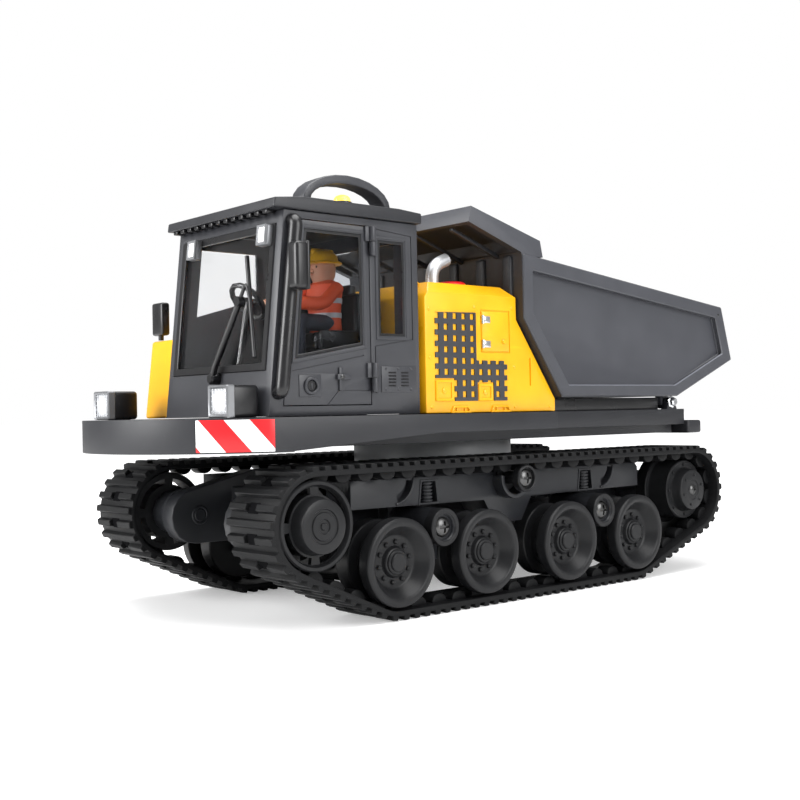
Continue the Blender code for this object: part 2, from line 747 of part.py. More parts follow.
def final_drive(name, side):
    """The gear housing at the rear axle, with the spindle that its sprocket turns on."""
    spindle_x = FRAME_INNER_X + SPINDLE_REACH
    housing = rod(
        (side * (TUB_HALF_WIDTH + SEAT_GAP), SPROCKET_Y, AXLE_Z),
        (side * (FRAME_INNER_X + HOUSING_REACH), SPROCKET_Y, AXLE_Z),
        HOUSING_RADIUS,
        20,
    )
    spindle = rod(
        (side * FRAME_INNER_X, SPROCKET_Y, AXLE_Z),
        (side * spindle_x, SPROCKET_Y, AXLE_Z),
        SPINDLE_RADIUS,
        16,
    )
    piece(name, housing, CHARCOAL, [spindle])


def undercarriage():
    """Everything below the turntable."""
    chassis()
    for word, side in SIDES:
        track_belt(f"{word}_track_belt", side)
        track_frame(f"{word}_track_frame", side)
        final_drive(f"{word}_final_drive", side)
        upper_roller(f"{word}_upper_roller", side)
        rim_x = TRACK_EDGE - 1.5 * MM
        end_wheel(f"{word}_idler", side, IDLER_Y, IDLER_CAP_X, END_WHEEL_RADIUS, rim_x)
        end_wheel(f"{word}_sprocket", side, SPROCKET_Y, SPROCKET_CAP_X, DRUM_RADIUS, DRUM_X)
        for end, y in (("front", FRONT_BOGIE_Y), ("rear", REAR_BOGIE_Y)):
            axis = bogie(f"{word}_{end}_bogie", side, y)
            for place, shift in (("front", -WHEEL_SPREAD), ("rear", WHEEL_SPREAD)):
                road_wheel(f"{word}_{end}_bogie_{place}_wheel", side, y + shift, axis)


def deck():
    """The rotating platform with its nose bumper, skirts, ram slots, bed rests and tip brackets."""
    meet = math.degrees(math.acos(DECK_HALF_WIDTH / NOSE_RADIUS))
    nose = arc((0, NOSE_CENTRE_Y), NOSE_RADIUS, -180 + meet, -meet, 16)
    plan = nose + [
        (DECK_HALF_WIDTH, SKIRT_END_Y),
        (REAR_HALF_WIDTH, SKIRT_END_Y),
        (REAR_HALF_WIDTH, DECK_TAIL_Y),
        (-REAR_HALF_WIDTH, DECK_TAIL_Y),
        (-REAR_HALF_WIDTH, SKIRT_END_Y),
        (-DECK_HALF_WIDTH, SKIRT_END_Y),
    ]
    top = slab([plan], SKIRT_BOTTOM, DECK_TOP, "Z")
    corner_y = nose[0][1]
    bumper_plan = nose + [(DECK_HALF_WIDTH, corner_y + 9 * MM), (-DECK_HALF_WIDTH, corner_y + 9 * MM)]
    inset = 8 * MM
    under_plan = [
        (-DECK_HALF_WIDTH + inset, corner_y + 5 * MM),
        (DECK_HALF_WIDTH - inset, corner_y + 5 * MM),
        (DECK_HALF_WIDTH - inset, DECK_TAIL_Y - 5 * MM),
        (-DECK_HALF_WIDTH + inset, DECK_TAIL_Y - 5 * MM),
    ]
    joined = [
        slab([bumper_plan], BUMPER_BOTTOM, DECK_TOP - 1 * MM, "Z"),
        slab([under_plan], DECK_BOTTOM, DECK_TOP - 2 * MM, "Z"),
    ]
    taper = [
        (corner_y + 5 * MM, BUMPER_BOTTOM),
        (SKIRT_TAPER_Y, SKIRT_BOTTOM),
        (SKIRT_TAPER_Y, DECK_TOP - 2 * MM),
        (corner_y + 5 * MM, DECK_TOP - 2 * MM),
    ]
    for side in (-1, 1):
        low, high = across(side, DECK_HALF_WIDTH - 2 * inset, DECK_HALF_WIDTH)
        joined.append(slab([taper], low, high))
        low, high = across(side, REST_INNER_X, REST_OUTER_X)
        rest_y = BED_FLOOR_FRONT_Y + 8 * MM
        joined.append(
            box((low, rest_y, DECK_TOP - 1 * MM), (high, rest_y + REST_LENGTH, BED_FLOOR - SEAT_GAP))
        )
        ear_end = EAR_INNER_X + EAR_THICKNESS + RUN_GAP
        low, high = across(side, ear_end, REAR_HALF_WIDTH)
        cheek = EAR_RADIUS - 1 * MM
        outline = [(TIP_Y - 5 * MM, DECK_TOP - 2 * MM), (TIP_Y + 5 * MM, DECK_TOP - 2 * MM)]
        outline += arc((TIP_Y, TIP_Z), cheek, 0, 180, 6)
        joined.append(slab([outline], low, high))
        pin_start = (side * (ear_end + 1 * MM), TIP_Y, TIP_Z)
        joined.append(rod(pin_start, (side * EAR_INNER_X, TIP_Y, TIP_Z), TIP_PIN_RADIUS, 10))
    cuts = []
    pins = []
    for side in (-1, 1):
        low, high = side * RAM_X - RAM_SLOT_HALF, side * RAM_X + RAM_SLOT_HALF
        cuts.append(
            box(
                (low, RAM_HEAD_Y - 8 * MM, DECK_BOTTOM + 1.8 * MM),
                (high, RAM_BASE_Y + 5 * MM, DECK_TOP + 1 * MM),
            )
        )
        pin_low = (low - 1 * MM, RAM_BASE_Y, RAM_BASE_Z)
        pin_high = (high + 1 * MM, RAM_BASE_Y, RAM_BASE_Z)
        pins.append(rod(pin_low, pin_high, RAM_PIN_RADIUS, 10))
    motor_y = TURN_Y - MOTOR_OFFSET
    hole_low = (0, motor_y, DECK_BOTTOM - 1 * MM)
    hole_high = (0, motor_y, DECK_TOP + 1 * MM)
    cuts.append(rod(hole_low, hole_high, MOTOR_SHAFT_RADIUS + RUN_GAP, 12))
    made = piece("deck", top, CHARCOAL, joined, cuts, (0, TURN_Y, DECK_BOTTOM))
    for pin in pins:
        boolean = made.modifiers.new("ram_pin", "BOOLEAN")
        boolean.operation = "UNION"
        boolean.object = helper(pin)
    hub = ring(HUB_RADIUS, HUB_BORE, RING_TOP + RUN_GAP, DECK_BOTTOM - SEAT_GAP, TURN_Y)
    piece("turntable_hub", hub, CHARCOAL, [], [], (0, TURN_Y, RING_TOP))
    tail_front = DECK_TAIL_Y + SEAT_GAP
    tail_rear = tail_front + TAIL_BAR_DEPTH
    corner = 6 * MM
    tail = [(-TAIL_BAR_HALF, tail_front), (TAIL_BAR_HALF, tail_front)]
    tail += arc((TAIL_BAR_HALF - corner, tail_rear - corner), corner, 0, 90, 4)
    tail += arc((-TAIL_BAR_HALF + corner, tail_rear - corner), corner, 90, 180, 4)
    piece("tail_bumper", slab([tail], TAIL_BAR_BOTTOM, TAIL_BAR_TOP, "Z"), CHARCOAL)


def deck_machinery():
    """What the covers hide: the slew motor with its pinion, and the control board."""
    motor_y = TURN_Y - MOTOR_OFFSET
    can = rod((0, motor_y, CAB_BASE), (0, motor_y, CAB_BASE + MOTOR_HEIGHT), MOTOR_RADIUS, 20)
    shaft = rod((0, motor_y, TUB_TOP + 1.5 * MM), (0, motor_y, CAB_BASE + 2 * MM), MOTOR_SHAFT_RADIUS, 12)
    pinion = rod((0, motor_y, TUB_TOP + 1 * MM), (0, motor_y, RING_TOP), PINION_RADIUS, 14)
    piece("slew_motor", can, CHROME, [shaft, pinion], [], (0, motor_y, CAB_BASE))
    board_rear = motor_y - MOTOR_RADIUS - 4 * MM
    board_half = BOARD_HALF_WIDTH
    chip = BOARD_HALF_WIDTH / 6
    plate = box(
        (-board_half, COVER_FRONT_Y + BOARD_SETBACK, CAB_BASE),
        (board_half, board_rear, CAB_BASE + 1.6 * MM),
    )
    chip_y = COVER_FRONT_Y + 1.6 * BOARD_SETBACK
    chips = [
        box((x - chip, chip_y, CAB_BASE + 1 * MM), (x + chip, chip_y + 1.4 * chip, CAB_BASE + CHIP_TOP))
        for x in (-0.65 * board_half, 0, 0.65 * board_half)
    ]
    piece("control_board", plate, BOARD, chips)


def cab_front_y(z):
    """Where the raked front of the cab lies at a height."""
    return CAB_FRONT_Y + CAB_SLOPE * (z - DECK_TOP)


def cab_wall_outline(inset, low, high):
    """The cab's side outline, drawn in by an inset."""
    return [
        (cab_front_y(low) + inset, low),
        (CAB_REAR_Y - inset, low),
        (CAB_REAR_Y - inset, high),
        (cab_front_y(high) + inset, high),
    ]


def door_outline(inset, low, high, rear):
    """The door's raked outline."""
    front = DOOR_FRONT_GAP + inset
    return [
        (cab_front_y(low) + front, low),
        (rear, low),
        (rear, high),
        (cab_front_y(high) + front, high),
    ]


def raked_light(rear, sill, drop, gap=0):
    """A side window's outline: a raked front, a sill that falls forwards, all drawn in by a gap."""
    front = DOOR_FRONT_GAP + STILE + gap
    low = sill - drop
    return [
        (cab_front_y(low) + front, low + gap),
        (rear - gap, sill + gap),
        (rear - gap, WINDOW_TOP - gap),
        (cab_front_y(WINDOW_TOP) + front, WINDOW_TOP - gap),
    ]


def pane(name, loops, low, high, axis):
    """A flat window."""
    piece(name, slab(loops, low, high, axis), GLASS_TINT)


def rect(a, b, c, d):
    """A rectangle's corners from its two ranges."""
    return [(a, c), (b, c), (b, d), (a, d)]


def cab():
    """The cab: shell, windows, door on its hinge, roof, hoop, seat, wheel and driver."""
    margin = 2 * MM
    shell = slab([cab_wall_outline(0, CAB_BASE, CAB_TOP)], CAB_RIGHT, CAB_LEFT)
    inside = slab(
        [cab_wall_outline(CAB_WALL, CAB_BASE - margin, CAB_TOP + margin)],
        CAB_RIGHT + CAB_WALL,
        CAB_LEFT - CAB_WALL,
    )
    front_open = rect(CAB_RIGHT + PILLAR, CAB_LEFT - PILLAR - 0.5 * MM, SILL_Z, WINDOW_TOP)
    front_cut = slab([front_open], CAB_FRONT_Y - 5 * MM, cab_front_y(CAB_TOP) + CAB_WALL + 4 * MM, "Y")
    rear_open = rect(CAB_RIGHT + 12 * MM, CAB_LEFT - 12 * MM, SILL_Z + 12 * MM, WINDOW_TOP)
    rear_cut = slab([rear_open], CAB_REAR_Y - 8 * MM, CAB_REAR_Y + 4 * MM, "Y")
    door_rear = DOOR_HINGE_Y - 0.6 * MM
    right_cut = slab(
        [raked_light(door_rear - STILE, RIGHT_SILL, RIGHT_DROP)], CAB_RIGHT - 3 * MM, CAB_RIGHT + 6 * MM
    )
    quarter_open = rect(DOOR_HINGE_Y + 4 * MM, CAB_REAR_Y - 7 * MM, SILL_Z + 12 * MM, WINDOW_TOP - 1.5 * MM)
    quarter_cut = slab([quarter_open], CAB_LEFT - 6 * MM, CAB_LEFT + 3 * MM)
    doorway = slab(
        [door_outline(-RUN_GAP, DOOR_BOTTOM - RUN_GAP, DOOR_TOP + RUN_GAP, door_rear + RUN_GAP)],
        CAB_LEFT - 6 * MM,
        CAB_LEFT + 3 * MM,
    )
    hinge_x = CAB_LEFT + HINGE_RADIUS + 0.4 * MM
    leaf_outer = hinge_x - 0.4 * MM
    knuckles = []
    door_adds = []
    root = 0.6 * HINGE_RADIUS
    for z in (DOOR_BOTTOM + 10 * MM, DOOR_TOP - KNUCKLE_LENGTH):
        low = z - KNUCKLE_LENGTH
        high = z + KNUCKLE_LENGTH
        top = z - SEAT_GAP
        leaf_inner = CAB_LEFT - 0.5 * MM
        axis_y = DOOR_HINGE_Y
        knuckles.append(rod((hinge_x, axis_y, low), (hinge_x, axis_y, top), HINGE_RADIUS, 12))
        knuckles.append(box((leaf_inner, axis_y + root, low), (leaf_outer, axis_y + 2.4 * MM, top)))
        door_adds.append(rod((hinge_x, axis_y, z), (hinge_x, axis_y, high), HINGE_RADIUS, 12))
        door_adds.append(box((leaf_inner, axis_y - 3 * MM, z), (leaf_outer, axis_y - root, high)))
    openings = [inside, front_cut, rear_cut, right_cut, quarter_cut, doorway]
    made = piece("cab_shell", shell, CHARCOAL, [], openings)
    for knuckle in knuckles:
        boolean = made.modifiers.new("hinge", "BOOLEAN")
        boolean.operation = "UNION"
        boolean.object = helper(knuckle)
    glass_gap = SEAT_GAP
    glass_front = 0.5 * MM
    low = SILL_Z + glass_gap
    high = WINDOW_TOP - glass_gap
    screen = [
        (cab_front_y(low) + glass_front, low),
        (cab_front_y(low) + glass_front + GLASS, low),
        (cab_front_y(high) + glass_front + GLASS, high),
        (cab_front_y(high) + glass_front, high),
    ]
    pane("windshield", [screen], front_open[0][0] + glass_gap, front_open[1][0] - glass_gap, "X")
    for name, loop, low, axis in (
        ("rear_window", rear_open, CAB_REAR_Y - CAB_WALL + 0.5 * MM, "Y"),
        ("quarter_window", quarter_open, CAB_LEFT - CAB_WALL + 0.5 * MM, "X"),
    ):
        (a, c), (b, _), (_, d), _ = loop
        small = rect(a + glass_gap, b - glass_gap, c + glass_gap, d - glass_gap)
        pane(name, [small], low, low + GLASS, axis)
    low = CAB_RIGHT + 0.5 * MM
    pane_loop = raked_light(door_rear - STILE, RIGHT_SILL, RIGHT_DROP, glass_gap)
    pane("right_window", [pane_loop], low, low + GLASS, "X")
    hinge = pivot("door_hinge", (hinge_x, DOOR_HINGE_Y, DOOR_BOTTOM))
    door_plate = slab([door_outline(0, DOOR_BOTTOM, DOOR_TOP, door_rear)], CAB_LEFT - CAB_WALL, CAB_LEFT)
    light_outline = raked_light(door_rear - STILE, DOOR_SILL, SILL_DROP)
    door_light = slab([light_outline], CAB_LEFT - 2 * CAB_WALL, CAB_LEFT + CAB_WALL)
    grip_y = cab_front_y(DOOR_SILL) + GRIP_SETBACK
    grip = box(
        (CAB_LEFT - 0.5 * MM, grip_y, DOOR_SILL - GRIP_DROP - GRIP_HEIGHT / 2),
        (CAB_LEFT + 1.5 * MM, grip_y + GRIP_LENGTH, DOOR_SILL - GRIP_DROP + GRIP_HEIGHT / 2),
    )
    piece("cab_door", door_plate, CHARCOAL, [*door_adds, grip], [door_light], hinge.location, hinge)
    pane_loop = raked_light(door_rear - STILE, DOOR_SILL, SILL_DROP, glass_gap)
    low = CAB_LEFT - CAB_WALL + 0.5 * MM
    piece("door_window", slab([pane_loop], low, low + GLASS), GLASS_TINT, [], [], hinge.location, hinge)
    roof_base = CAB_TOP + SEAT_GAP
    roof = [
        (CAB_REAR_Y + ROOF_OVERHANG, roof_base),
        (CAB_REAR_Y + ROOF_OVERHANG, ROOF_TOP - 0.8 * MM),
        (CAB_REAR_Y - 10 * MM, ROOF_TOP),
        (cab_front_y(CAB_TOP) + 8 * MM, ROOF_TOP),
        (cab_front_y(CAB_TOP) - 4.8 * MM, ROOF_TOP - 1.4 * MM),
        (cab_front_y(CAB_TOP) - 5.3 * MM, roof_base),
    ]
    roof_mesh = slab([roof], CAB_RIGHT - ROOF_OVERHANG, CAB_LEFT + ROOF_OVERHANG)
    centre_x = (CAB_LEFT + CAB_RIGHT) / 2
    hump_y = cab_front_y(CAB_TOP) + 2 * MM
    hump = [(hump_y, ROOF_TOP - HUMP_ROOT), (hump_y + HUMP_LENGTH, ROOF_TOP - HUMP_ROOT)]
    hump += [(hump_y + 0.9 * HUMP_LENGTH, ROOF_TOP + HUMP_RISE), (hump_y + 0.4 * HUMP_LENGTH, ROOF_TOP + HUMP_RISE)]
    piece("cab_roof", roof_mesh, CHARCOAL, [slab([hump], centre_x - HUMP_RIGHT, centre_x + HUMP_LEFT)])
    hoop()
    cab_fittings(centre_x)


def hoop():
    """The arched strap over the beacon, and the beacon."""
    centre = ((HOOP_FRONT_Y + HOOP_REAR_Y) / 2, ROOF_TOP + SEAT_GAP)
    reach = (HOOP_REAR_Y - HOOP_FRONT_Y) / 2
    rise = HOOP_TOP - centre[1]

    def bow(width, height):
        turns = [math.radians(180 * i / 12) for i in range(13)]
        return [(centre[0] + width * math.cos(a), centre[1] + height * math.sin(a)) for a in turns]

    loop = bow(reach, rise) + list(reversed(bow(reach - HOOP_STRAP, rise - HOOP_STRAP)))
    piece("roof_hoop", slab([loop], HOOP_LEFT - HOOP_WIDTH, HOOP_LEFT), CHARCOAL)
    beacon_x = HOOP_LEFT - HOOP_WIDTH / 2
    lamp = rod((beacon_x, centre[0], centre[1]), (beacon_x, centre[0], centre[1] + 2.5 * MM), 4 * MM, 14)
    dome = ball((beacon_x, centre[0], centre[1] + 2.2 * MM), (3.4 * MM, 3.4 * MM, 2.1 * MM))
    piece("beacon", lamp, AMBER, [dome])


def cab_fittings(centre_x):
    """Seat, driver figure, steering wheel, handrail and mirrors."""
    seat_y = CAB_REAR_Y - SEAT_SETBACK
    seat_top = CAB_BASE + SEAT_HEIGHT
    half = SEAT_HALF_WIDTH
    base = box((centre_x - half, seat_y - SEAT_DEPTH, CAB_BASE), (centre_x + half, seat_y, seat_top), 2 * MM)
    back_low = (centre_x - half, seat_y - SEAT_BACK_DEPTH, seat_top - 4 * MM)
    back = box(back_low, (centre_x + half, seat_y, seat_top + SEAT_BACK_RISE), 2 * MM)
    piece("seat", base, BLACK, [back])
    hip_y = seat_y - SEAT_DEPTH / 2
    hip = seat_top + SEAT_GAP
    torso = box(
        (centre_x - TORSO_HALF_WIDTH, hip_y - TORSO_HALF_DEPTH, hip),
        (centre_x + TORSO_HALF_WIDTH, hip_y + 1.1 * TORSO_HALF_DEPTH, hip + TORSO_HEIGHT),
        2.5 * MM,
    )
    head_z = hip + HEAD_RISE
    limbs = [
        ball((centre_x, hip_y - 0.5 * MM, head_z), (HEAD_RADIUS, 1.07 * HEAD_RADIUS, 1.3 * HEAD_RADIUS)),
        ball(
            (centre_x, hip_y, head_z + 3.5 * MM),
            (HELMET_RADIUS, 1.12 * HELMET_RADIUS, 0.76 * HELMET_RADIUS),
        ),
    ]
    hand = (centre_x, hip_y - ARM_REACH, hip + TORSO_HEIGHT / 2)
    for shift in (-1, 1):
        shoulder = (centre_x + shift * 1.06 * TORSO_HALF_WIDTH, hip_y, hip + TORSO_HEIGHT * 5 / 6)
        palm = (hand[0] + shift * 0.94 * TORSO_HALF_WIDTH, hand[1] + 2 * MM, hand[2])
        limbs.append(rod(shoulder, palm, ARM_RADIUS, 8, 0.73 * ARM_RADIUS))
        limbs.append(ball(shoulder, (1.27 * ARM_RADIUS, 1.27 * ARM_RADIUS, 1.27 * ARM_RADIUS), 8, 6))
        knee = (centre_x + shift * 1.5 * LEG_RADIUS, hip_y - THIGH_REACH, hip + 4 * MM)
        limbs.append(rod((centre_x + shift * 1.35 * LEG_RADIUS, hip_y, hip + 4 * MM), knee, LEG_RADIUS, 8))
        foot = (knee[0], knee[1] - 2 * MM, CAB_BASE)
        limbs.append(rod(knee, foot, 0.97 * LEG_RADIUS, 8, 0.7 * LEG_RADIUS))
    floor_trim = box(
        (centre_x - 2 * TORSO_HALF_WIDTH, hip_y - 2 * THIGH_REACH, CAB_BASE - SEAT_HEIGHT / 2),
        (centre_x + 2 * TORSO_HALF_WIDTH, hip_y - THIGH_REACH / 2, CAB_BASE + SEAT_GAP),
    )
    piece("driver", torso, ORANGE, limbs, [floor_trim])
    steering_wheel(centre_x, (cab_front_y(hand[2]) + STEERING_SETBACK, hand[2]))
    rail_x = CAB_LEFT + RAIL_RADIUS + 0.5 * MM
    rail_low = DECK_TOP + RAIL_FOOT_RISE
    rail_high = CAB_TOP - 1 * MM
    offset = RAIL_SETBACK
    rail_foot = (rail_x, cab_front_y(rail_low) + offset, rail_low)
    rail_head = (rail_x, cab_front_y(rail_high) + offset, rail_high)
    rail = rod(rail_foot, rail_head, RAIL_RADIUS, 12)
    feet = []
    for z in (rail_low + 4 * MM, rail_high - 4 * MM):
        y = cab_front_y(z) + offset
        feet.append(rod((CAB_LEFT + SEAT_GAP, y, z), (rail_x, y, z), 1.6 * MM, 10))
    piece("handrail", rail, BLACK, feet)
    glass_z = MIRROR_Z
    arm_y = cab_front_y(glass_z) + offset
    case_x = rail_x + RAIL_RADIUS + SEAT_GAP
    case = box(
        (case_x, arm_y - 3.5 * MM, glass_z - MIRROR_HALF_HEIGHT),
        (case_x + 5 * MM, arm_y + 2.6 * MM, glass_z + MIRROR_HALF_HEIGHT),
        1.2 * MM,
    )
    piece("left_mirror", case, BLACK)
    half = HOOD_MIRROR_WIDTH / 2
    mirror_x = HOOD_RIGHT + half
    mirror_y = cab_front_y(HOOD_TOP) + HOOD_SETBACK + 2 * MM
    stem_z = hood_top_at(mirror_y) + SEAT_GAP
    case = box(
        (mirror_x - half, mirror_y - 2 * MM, stem_z + 2 * MM),
        (mirror_x + half, mirror_y + 2 * MM, stem_z + HOOD_MIRROR_HEIGHT),
        1 * MM,
    )
    stem = rod((mirror_x, mirror_y, stem_z), (mirror_x, mirror_y, stem_z + 4 * MM), 1.2 * MM, 8)
    piece("right_mirror", case, BLACK, [stem])


def steering_wheel(centre_x, place):
    """A three-piece wheel on a raked column that stands on the deck."""
    y, z = place
    lean = math.radians(-50)
    reach = STEERING_RADIUS
    thick = 1.1 * MM

    def build(work):
        turns = 14
        tube = 6
        rows = []
        for i in range(turns):
            a = 2 * math.pi * i / turns
            row = []
            for j in range(tube):
                b = 2 * math.pi * j / tube
                r = reach + thick * math.cos(b)
                row.append(work.verts.new((r * math.cos(a), r * math.sin(a), thick * math.sin(b))))
            rows.append(row)
        for i in range(turns):
            for j in range(tube):
                ahead = rows[(i + 1) % turns]
                work.faces.new((rows[i][j], ahead[j], ahead[(j + 1) % tube], rows[i][(j + 1) % tube]))
        place_at = Matrix.Translation((centre_x, y, z)) @ Matrix.Rotation(lean, 4, "X")
        bmesh.ops.transform(work, matrix=place_at, verts=work.verts)

    rim = mesh_from(build)
    spoke = rod((centre_x - reach, y, z), (centre_x + reach, y, z), 1 * MM, 8)
    foot_y = y - COLUMN_LEAN
    column = rod((centre_x, y, z), (centre_x, foot_y, CAB_BASE), 1.4 * MM, 8)
    trim = box(
        (centre_x - reach, foot_y - reach, CAB_BASE - reach),
        (centre_x + reach, foot_y + reach, CAB_BASE + SEAT_GAP),
    )
    piece("steering_wheel", rim, BLACK, [spoke, column], [trim])


def hood_top_at(y):
    """The side hood's height along its sloping top."""
    front = cab_front_y(HOOD_TOP) + HOOD_SETBACK
    share = (y - front) / (COVER_FRONT_Y - front)
    return HOOD_TOP - 3 * MM + 5 * MM * share


def covers():
    """The engine cover behind the cab, the side hood, the exhaust and the headlights."""
    slope_gap = 1.2 * MM

    def cover_outline(inset):
        rear = BED_FRONT_Y - slope_gap - inset
        foot = BED_FLOOR_FRONT_Y - slope_gap - inset
        low = CAB_BASE if inset == 0 else CAB_BASE - 2 * MM
        return [
            (COVER_FRONT_Y + inset, low),
            (foot, low),
            (foot, BED_FLOOR - 0.5 * MM - inset),
            (rear, BED_KNEE_Z - 0.5 * MM - inset),
            (rear, COVER_TOP - 4.5 * MM - inset),
            (rear - 6 * MM, COVER_TOP - inset),
            (COVER_FRONT_Y + 5 * MM + inset, COVER_TOP - inset),
            (COVER_FRONT_Y + inset, COVER_EAVES - inset),
        ]

    shell = slab([cover_outline(0)], -COVER_HALF_WIDTH, COVER_HALF_WIDTH)
    inner_half = COVER_HALF_WIDTH - COVER_WALL
    hollow = slab([cover_outline(COVER_WALL)], -inner_half, inner_half)
    cuts = [hollow]
    chamfer = 3 * MM
    for side in (-1, 1):
        edge = side * COVER_HALF_WIDTH
        wedge = [
            (edge + side * 1 * MM, COVER_EAVES + 1 * MM),
            (edge + side * 1 * MM, COVER_TOP + 3 * MM),
            (edge - side * 2 * chamfer, COVER_TOP + 3 * MM),
            (edge - side * chamfer, COVER_TOP - 0.5 * MM),
        ]
        cuts.append(slab([wedge], COVER_FRONT_Y - 3 * MM, BED_FRONT_Y + 3 * MM, "Y"))
    piece("engine_cover", shell, YELLOW, [], cuts)
    front = cab_front_y(HOOD_TOP) + HOOD_SETBACK
    hood_rear = COVER_FRONT_Y - SEAT_GAP
    hood_left = CAB_RIGHT - SEAT_GAP
    outline = [
        (cab_front_y(CAB_BASE) + HOOD_SETBACK, CAB_BASE),
        (hood_rear, CAB_BASE),
        (hood_rear, hood_top_at(hood_rear)),
        (front, hood_top_at(front)),
    ]
    body = slab([outline], HOOD_RIGHT, hood_left)
    wall = COVER_WALL
    inner = [
        (outline[0][0] + wall, CAB_BASE - 2 * MM),
        (hood_rear - wall, CAB_BASE - 2 * MM),
        (hood_rear - wall, outline[2][1] - wall),
        (front + wall, outline[3][1] - wall),
    ]
    piece("side_hood", body, YELLOW, [], [slab([inner], HOOD_RIGHT + wall, hood_left - wall)])
    pipe_x = EXHAUST_X
    pipe_y = COVER_FRONT_Y + EXHAUST_SETBACK
    foot = COVER_TOP + SEAT_GAP
    bend = foot + 5 * MM
    steps = 5
    lower = rod((pipe_x, pipe_y, foot), (pipe_x, pipe_y, bend), EXHAUST_RADIUS, 14)
    elbow = []
    here = Vector((pipe_x, pipe_y, bend - 0.5 * MM))
    for step in range(steps):
        angle = math.radians(12 + 14 * step)
        ahead = here + Vector((0, math.sin(angle), math.cos(angle))) * 2.6 * MM
        elbow.append(rod(here, ahead + (ahead - here) * 0.25, EXHAUST_RADIUS - 0.02 * MM * step, 14))
        here = ahead
    piece("exhaust_pipe", lower, CHROME, elbow)
    for word, side in SIDES:
        low, high = across(side, LAMP_INNER_X, LAMP_OUTER_X)
        case = box((low, LENS_Y, CAB_BASE), (high, LENS_Y + LAMP_DEPTH, CAB_BASE + LAMP_HEIGHT), 1.2 * MM)
        piece(f"{word}_headlight", case, CHARCOAL)


